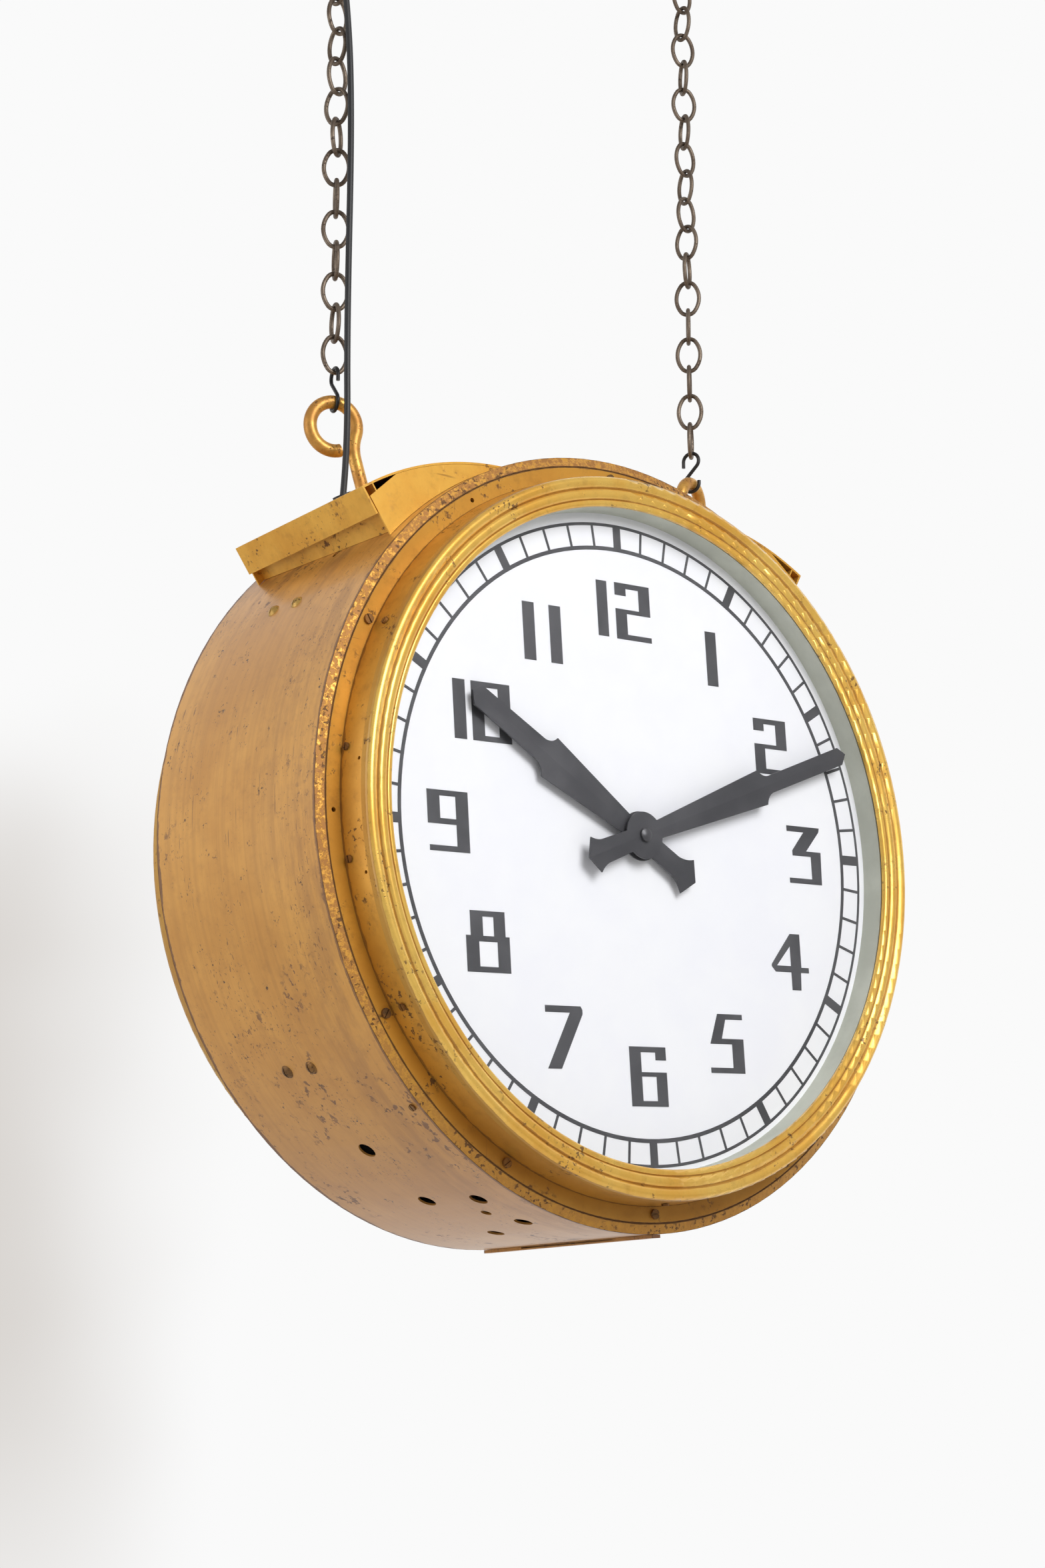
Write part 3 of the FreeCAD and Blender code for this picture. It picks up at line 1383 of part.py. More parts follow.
def make_ceiling_hook(side):
    """Fixing plate with a welded hook that takes the chain's top link."""
    hang = clock_to_world(hang_point(side))
    arc_z = hook_arc_height(side)
    half = FIXING_SPACING / 2
    end = PLATE_WIDTH / 2
    plate = box(-end, end, -half, half, -PLATE_THICKNESS, 0)
    ends = [Part.makeCylinder(end, PLATE_THICKNESS, Vector(0, y, -PLATE_THICKNESS)) for y in (-half, half)]
    plate = fused([plate] + ends)
    holes = [
        Part.makeCylinder(FIXING_HOLE_RADIUS, PLATE_THICKNESS + 2, Vector(0, y, -PLATE_THICKNESS - 1))
        for y in (-half, half)
    ]
    edges = [
        Part.makeLine(Vector(-HOOK_RADIUS, 0, -PLATE_THICKNESS / 2), Vector(-HOOK_RADIUS, 0, arc_z)),
        Part.Arc(
            Vector(-HOOK_RADIUS, 0, arc_z),
            Vector(0, 0, arc_z - HOOK_RADIUS),
            Vector(HOOK_RADIUS, 0, arc_z),
        ).toShape(),
        Part.makeLine(Vector(HOOK_RADIUS, 0, arc_z), Vector(HOOK_RADIUS, 0, arc_z + HOOK_TIP)),
    ]
    rod = tube(edges, HOOK_ROD_RADIUS)
    rod.rotate(Vector(), Z_AXIS, link_turns(side)[-1] + 90)
    shape = plate.fuse(rod).removeSplitter().cut(holes)
    shape.translate(Vector(hang.x, hang.y, 0))
    return shape


# Supply cable


def cable_points():
    return [Vector(*point) for point in CABLE_ROUTE]


def make_cable():
    """The cable as straight runs joined by tangent arcs; prints its radii and its volume."""
    points = cable_points()
    edges = []
    here = points[0]
    length = 0.0
    radii = []
    for before, corner, after in zip(points, points[1:], points[2:]):
        back = (before - corner).normalize()
        ahead = (after - corner).normalize()
        turn = math.pi - back.getAngle(ahead)
        shorter = min((corner - before).Length, (after - corner).Length)
        trim = 0.45 * shorter
        radius = trim / math.tan(turn / 2)
        start = corner + back * trim
        end = corner + ahead * trim
        middle_way = (back + ahead).normalize()
        middle = corner + middle_way * (radius / math.cos(turn / 2) - radius)
        edges.append(Part.makeLine(here, start))
        edges.append(Part.Arc(start, middle, end).toShape())
        length += (start - here).Length + radius * turn
        radii.append(round(radius, 1))
        here = end
    edges.append(Part.makeLine(here, points[-1]))
    length += (points[-1] - here).Length
    shape = tube(edges, CABLE_RADIUS)
    print("cable radii", radii, "length", round(length, 1))
    print("cable volume", round(shape.Volume, 1), "expected", round(math.pi * CABLE_RADIUS**2 * length, 1))
    return shape


def cable_entry():
    """Last two points of the cable's route in the clock's frame: above and in the hood's roof."""
    above, inside = cable_points()[-2:]
    return to_clock_point(above), to_clock_point(inside)


def entry_on_roof():
    """Where the cable's line meets the top of the left roof, its upward and the roof's outward direction."""
    pivot, axis, angle = hood_tilt(-1)
    tilt = FreeCAD.Rotation(axis, angle)
    back = FreeCAD.Rotation(axis, -angle)
    above, inside = [back.multVec(point - pivot) + pivot for point in cable_entry()]
    way = (above - inside).normalize()
    hub = Vector(-ROOF_CENTRE_X, inside.y, ROOF_CENTRE_Z)
    rel = inside - hub
    across = rel.x * way.x + rel.z * way.z
    flat = way.x**2 + way.z**2
    square = rel.x**2 + rel.z**2 - ROOF_RADIUS**2
    reach = (-across + math.sqrt(across**2 - flat * square)) / flat
    on_roof = inside + way * reach
    out = Vector(on_roof.x + ROOF_CENTRE_X, 0, on_roof.z - ROOF_CENTRE_Z).normalize()
    return tilt.multVec(on_roof - pivot) + pivot, tilt.multVec(way), tilt.multVec(out)


def cable_way(radius):
    """A cutter along the cable's last run, through the roof and the drum below it."""
    on_roof, way = entry_on_roof()[:2]
    return Part.makeCylinder(radius, 100, on_roof - way * 80, way)


def grommet_seat():
    """Centre of the grommet on the top of the left roof, and the roof's outward direction there."""
    on_roof, _, out = entry_on_roof()
    return on_roof, out


def make_grommet():
    """Rubber bush in the left roof, round the cable."""
    on_roof, out = grommet_seat()
    body = Part.makeCylinder(GROMMET_HOLE_RADIUS, ROOF_SHEET, on_roof - out * ROOF_SHEET, out)
    low = Part.makeCylinder(GROMMET_RADIUS, GROMMET_HEAD, on_roof - out * (ROOF_SHEET + GROMMET_HEAD + FIT_GAP), out)
    high = Part.makeCylinder(GROMMET_RADIUS, GROMMET_HEAD, on_roof + out * FIT_GAP, out)
    core = Part.makeCylinder(GROMMET_HOLE_RADIUS, 2 * GROMMET_HEAD + ROOF_SHEET, on_roof - out * (ROOF_SHEET + GROMMET_HEAD), out)
    shape = fused([body, low, high, core])
    return shape.cut(cable_way(CABLE_RADIUS + CABLE_CLEARANCE))


def make_cable_rose():
    """Small round ceiling rose that the cable leaves through its neck."""
    top = cable_points()[0]
    neck_end = top.z + ROSE_GAP
    body = Part.makeCylinder(ROSE_RADIUS, ROSE_HEIGHT, Vector(top.x, top.y, -ROSE_HEIGHT))
    neck = Part.makeCylinder(ROSE_NECK_RADIUS, -neck_end, Vector(top.x, top.y, neck_end))
    return fused([body, neck])


# Building and writing


def make_face(extra, missing):
    """Every piece of one face, as seen from the front."""
    return {
        "rim_band": make_rim_band(),
        "casing_ring": make_casing_ring(extra),
        "case_screws": make_case_screws(extra, missing),
        "bezel": make_bezel(extra),
        "glass": make_glass(extra),
        "reveal_ring": make_reveal_ring(extra),
        "dial": make_dial(),
        "dial_print": make_dial_print(),
        "motor_case": make_motor_case(),
        "motor_coil": make_motor_coil(),
        "motor_pinion": make_motor_pinion(),
        "centre_arbor": make_centre_arbor(),
        "minute_wheel": make_minute_wheel(),
        "hour_wheel": make_hour_wheel(),
        "hour_hand": make_hour_hand(),
        "minute_hand": make_minute_hand(),
        "hand_nut": make_hand_nut(),
    }


def make_case():
    """Every piece of the clock's body that is not on a face."""
    return {
        "case_drum": make_drum(),
        "upper_bar": make_bar(UPPER_BAR_ANGLE),
        "lower_bar": make_bar(LOWER_BAR_ANGLE),
        "upper_bar_screws": Part.makeCompound(make_bar_screws(UPPER_BAR_ANGLE)),
        "lower_bar_screws": Part.makeCompound(make_bar_screws(LOWER_BAR_ANGLE) + [make_rim_screw()]),
        "centre_bridge": make_bridge(),
        "bridge_bolts": make_bridge_bolts(),
        "terminal_block": make_terminal_block(),
        "bottom_cover": make_bottom_cover(),
        "suspension_saddle": make_saddle(),
        "hood_left": make_hood(-1),
        "hood_right": make_hood(1),
        "lid_left": make_lid(-1),
        "lid_right": make_lid(1),
        "eye_bolt_left": make_eye_bolt(-1),
        "eye_bolt_right": make_eye_bolt(1),
        "eye_bolt_nuts": make_eye_bolt_nuts(),
        "cable_grommet": make_grommet(),
    }


def make_hanging():
    """Every piece between the clock and the ceiling."""
    return {
        "s_hook_left": make_s_hook(-1),
        "s_hook_right": make_s_hook(1),
        "chain_left": make_chain(-1),
        "chain_right": make_chain(1),
        "ceiling_hook_left": make_ceiling_hook(-1),
        "ceiling_hook_right": make_ceiling_hook(1),
        "cable_rose": make_cable_rose(),
        "supply_cable": make_cable(),
    }


def write(name, shape):
    shape.exportStep(os.path.join("parts", name + ".step"))


def main():
    os.makedirs("parts", exist_ok=True)
    for name, shape in make_face(0.0, MISSING_FRONT_SCREWS).items():
        write("front_" + name, hung(shape))
    for name, shape in make_face(REAR_NECK_EXTRA, ()).items():
        shape.rotate(Vector(), Z_AXIS, 180)
        write("rear_" + name, hung(shape))
    for name, shape in make_case().items():
        write(name, hung(shape))
    for name, shape in make_hanging().items():
        write(name, shape)
    centre = clock_to_world(Vector())
    print("clock centre", round(centre.x, 3), round(centre.z, 3), "roll", round(ROLL, 4))
    for side in (-1, 1):
        hang = clock_to_world(hang_point(side))
        print("hang", round(hang.x, 3), round(hang.z, 3))


main()
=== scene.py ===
import json
import math

import bpy
from mathutils import Matrix, Vector


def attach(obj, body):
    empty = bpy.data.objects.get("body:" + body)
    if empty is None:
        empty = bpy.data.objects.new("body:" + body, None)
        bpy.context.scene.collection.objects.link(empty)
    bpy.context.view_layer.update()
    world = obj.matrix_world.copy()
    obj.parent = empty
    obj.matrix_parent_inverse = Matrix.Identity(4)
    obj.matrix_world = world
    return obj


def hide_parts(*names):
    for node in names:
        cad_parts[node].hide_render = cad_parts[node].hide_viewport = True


# Double sided station clock on two chains, seen from below on its left. Metres.

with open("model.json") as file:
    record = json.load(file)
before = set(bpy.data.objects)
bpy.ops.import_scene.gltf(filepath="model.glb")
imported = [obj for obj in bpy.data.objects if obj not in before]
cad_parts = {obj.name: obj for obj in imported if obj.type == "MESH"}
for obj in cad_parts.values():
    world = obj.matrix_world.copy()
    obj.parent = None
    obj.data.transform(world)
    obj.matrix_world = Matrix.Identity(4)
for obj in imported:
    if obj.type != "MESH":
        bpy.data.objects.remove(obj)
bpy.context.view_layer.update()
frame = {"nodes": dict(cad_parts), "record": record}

# Where the clock hangs: the middle of its drum, and its roll about the Y axis
CENTRE = Vector((0.024922, 0.0, -1.02179))
HANG_SPAN = math.hypot(0.4572, 0.020)
EYE_STEP = 0.0079
ROLL = math.atan2(0.020, 0.4572) + math.atan2(EYE_STEP, math.sqrt(HANG_SPAN**2 - EYE_STEP**2))

# Camera, solved from the photograph in the clock's own frame
CAMERA_AT = Vector((-1.8325, -2.0643, -0.4529))
CAMERA_RIGHT = Vector((0.75751, -0.65070, -0.05255))
CAMERA_DOWN = Vector((0.08309, 0.17594, -0.98089))
LENS = 67.70

# Supply cable, the same route as the solid's
CABLE_DIAMETER = 0.006
CABLE_ROUTE = (
    (-0.2620, 0.0000, -0.0278),
    (-0.2615, -0.0015, -0.0500),
    (-0.2560, -0.0080, -0.0880),
    (-0.2450, -0.0165, -0.1450),
    (-0.2330, -0.0190, -0.2120),
    (-0.2244, -0.0185, -0.3250),
    (-0.2284, -0.0180, -0.5560),
    (-0.2264, -0.0180, -0.6760),
    (-0.2322, -0.0180, -0.7270),
)

# Where the finishes wear, in the clock's own frame: half the drum's depth, and radii
DRUM_HALF_DEPTH = 0.118
DRUM_EDGE_RADIUS = 0.3603
RIM_JOINT_RADIUS = 0.3505
NECK_FOOT_RADIUS = 0.3353
# Grooves of the bezel: radius, width of the dirt in them, and how broken it is
BEZEL_GROOVES = ((0.3215, 0.0022, 0.4), (0.311, 0.0016, 0.45), (0.3331, 0.0016, 0.42))

# Main colours, as they look on screen
DRUM_OCHRE = (222, 163, 80)
DRUM_TAN = (202, 143, 66)
# Painted shade: the drum's lower part is darkened towards this colour
DRUM_LOW_SHADE = (150, 100, 44)
HOOD_GOLD = (244, 188, 80)
HOOD_MUSTARD = (222, 162, 60)
RING_GOLD = (216, 158, 62)
RING_MUSTARD = (194, 136, 46)
BEZEL_GOLD = (248, 202, 98)
BEZEL_AMBER = (232, 174, 66)
BARE_METAL = (98, 66, 52)
CHIP_DARK = (84, 56, 34)
SPECK_DARK = (66, 46, 34)

# Room: wall, floor and lamps. Lamps stand right of, before and above the clock as the camera sees it
WALL_DISTANCE = 1.15
WALL_RISE = 0.3
WALL_WIDTH = 9.0
WALL_HEIGHT = 6.0
FLOOR_HEIGHT = -2.7
WALL_WHITE = (250, 250, 250)
# Painted shadow of the clock on the wall: its grey, and where it lies across, up and at the foot
PAINTED_SHADOW_GREY = (218, 214, 210)
PAINTED_SHADOW_SIDE = (-0.36, -0.74)
PAINTED_SHADOW_HEIGHT = (0.46, 0.12)
PAINTED_SHADOW_FOOT = (-0.85, -0.35)
KEY_PLACE = (1.5, 2.1, 1.7)
KEY_SIZE = 1.5
KEY_POWER = 54.0
FILL_PLACE = (-2.4, 1.0, 0.5)
FILL_SIZE = 2.0
FILL_POWER = 24.0
ROOM_LIGHT = 0.385


def to_world(vector):
    """Rolls a direction of the clock's frame into the room."""
    c, s = math.cos(ROLL), math.sin(ROLL)
    return Vector((vector.x * c - vector.z * s, vector.y, vector.x * s + vector.z * c))


# Camera


def make_camera():
    camera = bpy.data.objects.new("camera", bpy.data.cameras.new("camera"))
    bpy.context.scene.collection.objects.link(camera)
    right = to_world(CAMERA_RIGHT).normalized()
    up = -to_world(CAMERA_DOWN).normalized()
    back = right.cross(up).normalized()
    up = back.cross(right)
    turn = Matrix((right, up, back)).transposed()
    camera.matrix_world = Matrix.Translation(CENTRE + to_world(CAMERA_AT)) @ turn.to_4x4()
    camera.data.lens = LENS
    camera.data.sensor_width = 36.0
    camera.data.clip_start = 0.05
    bpy.context.scene.camera = camera
    return camera


# Cable


def make_cable():
    curve = bpy.data.curves.new("supply_lead", "CURVE")
    curve.dimensions = "3D"
    spline = curve.splines.new("NURBS")
    spline.points.add(len(CABLE_ROUTE) - 1)
    for point, place in zip(spline.points, CABLE_ROUTE):
        point.co = (*place, 1.0)
        point.radius = CABLE_DIAMETER / 2
    spline.order_u = 3
    spline.use_endpoint_u = True
    spline.resolution_u = 24
    # The thickness is in each point's radius, because a curve's bounds grow by it
    curve.bevel_depth = 1.0
    curve.bevel_resolution = 8
    curve.use_fill_caps = True
    lead = bpy.data.objects.new("supply_lead", curve)
    bpy.context.scene.collection.objects.link(lead)
    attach(lead, "chains")
    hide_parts("supply_cable")
    return lead


# The work bench for node trees


class Bench:
    """Short calls for building one node tree, of a material or of an effect."""

    def __init__(self, tree):
        self.tree = tree

    def node(self, kind, **settings):
        made = self.tree.nodes.new(kind)
        for key, value in settings.items():
            setattr(made, key, value)
        return made

    def feed(self, socket, value):
        if isinstance(value, bpy.types.NodeSocket):
            self.tree.links.new(value, socket)
        elif value is not None:
            socket.default_value = value

    def place(self):
        return self.node("ShaderNodeTexCoord").outputs["Object"]

    def spread(self, vector, scale, turn=(0.0, 0.0, 0.0)):
        made = self.node("ShaderNodeMapping")
        self.feed(made.inputs["Vector"], vector)
        self.feed(made.inputs["Scale"], scale)
        made.inputs["Rotation"].default_value = turn
        return made.outputs["Vector"]

    def math(self, operation, first, second=None):
        made = self.node("ShaderNodeMath", operation=operation)
        self.feed(made.inputs[0], first)
        self.feed(made.inputs[1], second)
        return made.outputs[0]

    def times(self, *values):
        result = values[0]
        for value in values[1:]:
            result = self.math("MULTIPLY", result, value)
        return result

    def most(self, *values):
        result = values[0]
        for value in values[1:]:
            result = self.math("MAXIMUM", result, value)
        return result

    def noise(self, vector, scale, detail=4.0, rough=0.55):
        made = self.node("ShaderNodeTexNoise")
        self.feed(made.inputs["Vector"], vector)
        self.feed(made.inputs["Scale"], scale)
        self.feed(made.inputs["Detail"], detail)
        self.feed(made.inputs["Roughness"], rough)
        return made.outputs["Fac"]

    def steps(self, value, low, high):
        """A smooth ramp from 0 at low to 1 at high."""
        made = self.node("ShaderNodeMapRange", interpolation_type="SMOOTHSTEP")
        self.feed(made.inputs["Value"], value)
        self.feed(made.inputs["From Min"], low)
        self.feed(made.inputs["From Max"], high)
        return made.outputs["Result"]

    def mix(self, factor, first, second):
        made = self.node("ShaderNodeMix", data_type="RGBA")
        for socket, value in zip((made.inputs[0], made.inputs[6], made.inputs[7]), (factor, first, second)):
            self.feed(socket, value)
        return made.outputs[2]

    def blend(self, factor, first, second):
        made = self.node("ShaderNodeMix", data_type="FLOAT")
        for socket, value in zip((made.inputs[0], made.inputs[2], made.inputs[3]), (factor, first, second)):
            self.feed(socket, value)
        return made.outputs[0]

    def bump(self, height, distance, strength=1.0):
        made = self.node("ShaderNodeBump")
        self.feed(made.inputs["Height"], height)
        made.inputs["Distance"].default_value = distance
        made.inputs["Strength"].default_value = strength
        return made.outputs["Normal"]

    def effect(self, name, **values):
        made = self.node("ShaderNodeGroup", node_tree=bpy.data.node_groups[name])
        for label, value in values.items():
            self.feed(made.inputs[label], value)
        return made.outputs


def rgb(red, green, blue):
    """A colour given as it looks on screen, 0 to 255."""

    def linear(value):
        value /= 255.0
        return value / 12.92 if value <= 0.04045 else ((value + 0.055) / 1.055) ** 2.4

    return (linear(red), linear(green), linear(blue), 1.0)


# Effects that several finishes use


def new_effect(name, inputs, outputs):
    group = bpy.data.node_groups.new(name, "ShaderNodeTree")
    for label, kind in inputs:
        group.interface.new_socket(name=label, in_out="INPUT", socket_type="NodeSocket" + kind)
    for label, kind in outputs:
        group.interface.new_socket(name=label, in_out="OUTPUT", socket_type="NodeSocket" + kind)
    bench = Bench(group)
    return bench, bench.node("NodeGroupInput").outputs, bench.node("NodeGroupOutput").inputs


def make_clock_place():
    """Where a point of the clock is: distance from the axis, depth, and height above the axis."""
    bench, start, end = new_effect(
        "clock_place", (), (("Radius", "Float"), ("Depth", "Float"), ("Side", "Float"), ("Height", "Float"))
    )
    moved = bench.node("ShaderNodeVectorMath", operation="SUBTRACT")
    bench.feed(moved.inputs[0], bench.place())
    moved.inputs[1].default_value = CENTRE
    turned = bench.spread(moved.outputs[0], (1.0, 1.0, 1.0), (0.0, ROLL, 0.0))
    split = bench.node("ShaderNodeSeparateXYZ")
    bench.feed(split.inputs[0], turned)
    side, depth, height = split.outputs
    squares = bench.math("ADD", bench.times(side, side), bench.times(height, height))
    bench.feed(end["Radius"], bench.math("SQRT", squares))
    bench.feed(end["Depth"], depth)
    bench.feed(end["Side"], side)
    bench.feed(end["Height"], height)


def make_patina():
    """Two tones of one finish in soft clouds, with darker mottling."""
    bench, start, end = new_effect(
        "patina",
        (("Base", "Color"), ("Second", "Color"), ("Dark", "Color"), ("Cloud", "Float"), ("Mottle", "Float")),
        (("Color", "Color"), ("Cloud", "Float")),
    )
    place = bench.place()
    cloud = bench.steps(bench.noise(place, start["Cloud"], 6.0, 0.62), 0.36, 0.66)
    color = bench.mix(cloud, start["Base"], start["Second"])
    mottle = bench.steps(bench.noise(place, 70.0, 5.0, 0.7), 0.48, 0.74)
    bench.feed(end["Color"], bench.mix(bench.times(mottle, start["Mottle"]), color, start["Dark"]))
    bench.feed(end["Cloud"], cloud)


def make_chips():
    """Small ragged chips that gather in patches. Amount 0 is none, 1 is nearly all over."""
    bench, start, end = new_effect(
        "chips", (("Grain", "Float"), ("Patch", "Float"), ("Amount", "Float")), (("Mask", "Float"),)
    )
    place = bench.place()
    limit = bench.math("SUBTRACT", 0.76, bench.times(start["Amount"], 0.4))
    patch = bench.noise(place, start["Patch"], 4.0, 0.65)
    near = bench.steps(patch, bench.math("SUBTRACT", limit, 0.1), limit)
    speck = bench.noise(place, start["Grain"], 4.0, 0.6)
    bench.feed(end["Mask"], bench.times(near, bench.steps(speck, 0.56, 0.6)))


def make_streaks():
    """Faint lines round the drum, as from rolling and a brush."""
    bench, start, end = new_effect("streaks", (("Fineness", "Float"),), (("Mask", "Float"),))
    scale = bench.node("ShaderNodeCombineXYZ")
    bench.feed(scale.inputs[0], 2.5)
    bench.feed(scale.inputs[1], start["Fineness"])
    bench.feed(scale.inputs[2], 2.5)
    lines = bench.noise(bench.spread(bench.place(), scale.outputs[0]), 1.0, 5.0, 0.6)
    bench.feed(end["Mask"], bench.steps(lines, 0.4, 0.68))


def make_scratches():
    """Thin short scratches in two directions."""
    bench, start, end = new_effect("scratches", (("Amount", "Float"),), (("Mask", "Float"),))
    place = bench.place()
    limit = bench.math("SUBTRACT", 0.74, bench.times(start["Amount"], 0.1))
    sets = []
    for turn, scale in (((0.3, 0.5, 0.2), (420.0, 420.0, 9.0)), ((0.9, -0.3, 1.1), (12.0, 380.0, 380.0))):
        lines = bench.noise(bench.spread(place, scale, turn), 1.0, 2.0, 0.4)
        where = bench.steps(bench.noise(place, 16.0, 2.0, 0.5), 0.5, 0.6)
        sets.append(bench.times(bench.steps(lines, limit, bench.math("ADD", limit, 0.03)), where))
    bench.feed(end["Mask"], bench.most(*sets))


def make_worn_line():
    """A broken line of wear or dirt where Value is near At."""
    bench, start, end = new_effect(
        "worn_line",
        (("Value", "Float"), ("At", "Float"), ("Width", "Float"), ("Gaps", "Float"), ("Grain", "Float")),
        (("Mask", "Float"),),
    )
    off = bench.math("ABSOLUTE", bench.math("SUBTRACT", start["Value"], start["At"]))
    ragged = bench.noise(bench.place(), start["Grain"], 5.0, 0.65)
    near = bench.math("SUBTRACT", 1.0, bench.math("DIVIDE", off, start["Width"]))
    edge = bench.math("SUBTRACT", bench.math("ADD", near, ragged), bench.math("ADD", start["Gaps"], 0.5))
    inside = bench.steps(near, 0.0, 0.2)
    bench.feed(end["Mask"], bench.times(bench.steps(edge, 0.0, 0.12), inside))


def make_tooth():
    """Fine unevenness for the bump, the same in all directions."""
    bench, start, end = new_effect("tooth", (("Scale", "Float"),), (("Height", "Float"),))
    place = bench.place()
    fine = bench.noise(place, start["Scale"], 3.0, 0.55)
    wide = bench.noise(place, bench.times(start["Scale"], 0.06), 2.0, 0.5)
    bench.feed(end["Height"], bench.math("ADD", bench.times(fine, 0.5), bench.times(wide, 2.0)))


EFFECTS = (
    make_clock_place,
    make_patina,
    make_chips,
    make_streaks,
    make_scratches,
    make_worn_line,
    make_tooth,
)
for make_effect in EFFECTS:
    make_effect()


# Finishes


class Finish(Bench):
    """A bench for one material, with its Principled shader at hand."""

    def __init__(self, name):
        self.material = bpy.data.materials.new(name)
        self.material.use_nodes = True
        super().__init__(self.material.node_tree)
        self.surface = self.tree.nodes["Principled BSDF"]
        self.output = self.tree.nodes["Material Output"]

    def worn(self, value, at, width, gaps, grain):
        return self.effect("worn_line", Value=value, At=at, Width=width, Gaps=gaps, Grain=grain)["Mask"]

    def chips(self, grain, patch, amount):
        return self.effect("chips", Grain=grain, Patch=patch, Amount=amount)["Mask"]

    def scratches(self, amount):
        return self.effect("scratches", Amount=amount)["Mask"]

    def tooth(self, scale):
        return self.effect("tooth", Scale=scale)["Height"]

    def done(self, color, rough, metallic, normal):
        self.feed(self.surface.inputs["Base Color"], color)
        self.feed(self.surface.inputs["Roughness"], rough)
        self.feed(self.surface.inputs["Metallic"], metallic)
        self.feed(self.surface.inputs["Normal"], normal)
        return self.material


def drum_paint():
    """Ochre paint on the drum: rubbed, scratched, and scuffed to the metal along its edges."""
    f = Finish("drum_paint")
    at = f.effect("clock_place")
    base, second = rgb(*DRUM_OCHRE), rgb(*DRUM_TAN)
    paint = f.effect("patina", Base=base, Second=second, Dark=rgb(136, 92, 50), Cloud=6.0, Mottle=0.2)
    color = paint["Color"]
    streaks = f.effect("streaks", Fineness=190.0)["Mask"]
    color = f.mix(f.times(streaks, 0.22), color, rgb(160, 110, 56))
    low = f.steps(at["Height"], -0.12, -0.3)
    high = f.steps(at["Height"], 0.16, 0.3)
    # Painted shade: the drum grows darker towards the bottom
    color = f.mix(f.times(low, 0.5), color, rgb(*DRUM_LOW_SHADE))
    near_front = f.steps(at["Depth"], 0.02, -0.11)
    haze = f.steps(f.noise(f.spread(f.place(), (9.0, 30.0, 9.0)), 1.0, 6.0, 0.72), 0.42, 0.62)
    rubbed = f.most(f.times(haze, high, 0.6), f.times(haze, near_front, 0.3))
    color = f.mix(rubbed, color, rgb(120, 82, 62))
    edge = f.worn(at["Depth"], -DRUM_HALF_DEPTH, width=0.004, gaps=0.42, grain=40.0)
    front = f.worn(at["Depth"], -DRUM_HALF_DEPTH, width=0.034, gaps=0.98, grain=17.0)
    back = f.worn(at["Depth"], DRUM_HALF_DEPTH, width=0.012, gaps=0.72, grain=30.0)
    scuffs = f.chips(grain=120.0, patch=13.0, amount=f.blend(low, 0.2, 0.34))
    specks = f.chips(grain=330.0, patch=60.0, amount=0.2)
    scratches = f.scratches(0.7)
    bare = f.most(f.times(edge, 0.7), f.times(front, 0.85), f.times(back, 0.8), f.times(scuffs, 0.75))
    color = f.mix(bare, color, rgb(*BARE_METAL))
    color = f.mix(f.times(scratches, 0.6), color, rgb(106, 72, 48))
    color = f.mix(f.times(specks, 0.9), color, rgb(*SPECK_DARK))
    rough = f.blend(f.most(bare, rubbed), 0.36, 0.52)
    tooth = f.tooth(420.0)
    height = f.math("SUBTRACT", f.times(tooth, 0.5), f.most(bare, specks, f.times(scratches, 0.6)))
    f.surface.inputs["Coat Weight"].default_value = 0.2
    f.surface.inputs["Coat Roughness"].default_value = 0.2
    return f.done(color, rough, 0.2, f.bump(height, 0.00025, 0.6))


def hood_paint():
    """Gold paint on the hoods and lids, rubbed brown where hands lift them."""
    f = Finish("hood_paint")
    base, second = rgb(*HOOD_GOLD), rgb(*HOOD_MUSTARD)
    paint = f.effect("patina", Base=base, Second=second, Dark=rgb(128, 82, 36), Cloud=13.0, Mottle=0.24)
    streaks = f.effect("streaks", Fineness=130.0)["Mask"]
    color = f.mix(f.times(streaks, 0.08), paint["Color"], rgb(168, 114, 48))
    rubbed = f.chips(grain=34.0, patch=15.0, amount=0.42)
    chips = f.chips(grain=210.0, patch=26.0, amount=0.34)
    scratches = f.scratches(0.6)
    color = f.mix(f.times(rubbed, 0.5), color, rgb(140, 94, 56))
    color = f.mix(f.times(chips, 0.85), color, rgb(92, 60, 36))
    color = f.mix(f.times(scratches, 0.5), color, rgb(126, 82, 40))
    rough = f.blend(f.most(rubbed, chips), f.blend(paint["Cloud"], 0.32, 0.42), 0.56)
    tooth = f.tooth(460.0)
    height = f.math("SUBTRACT", f.times(tooth, 0.5), f.most(chips, f.times(scratches, 0.5)))
    return f.done(color, rough, 0.4, f.bump(height, 0.00025, 0.6))


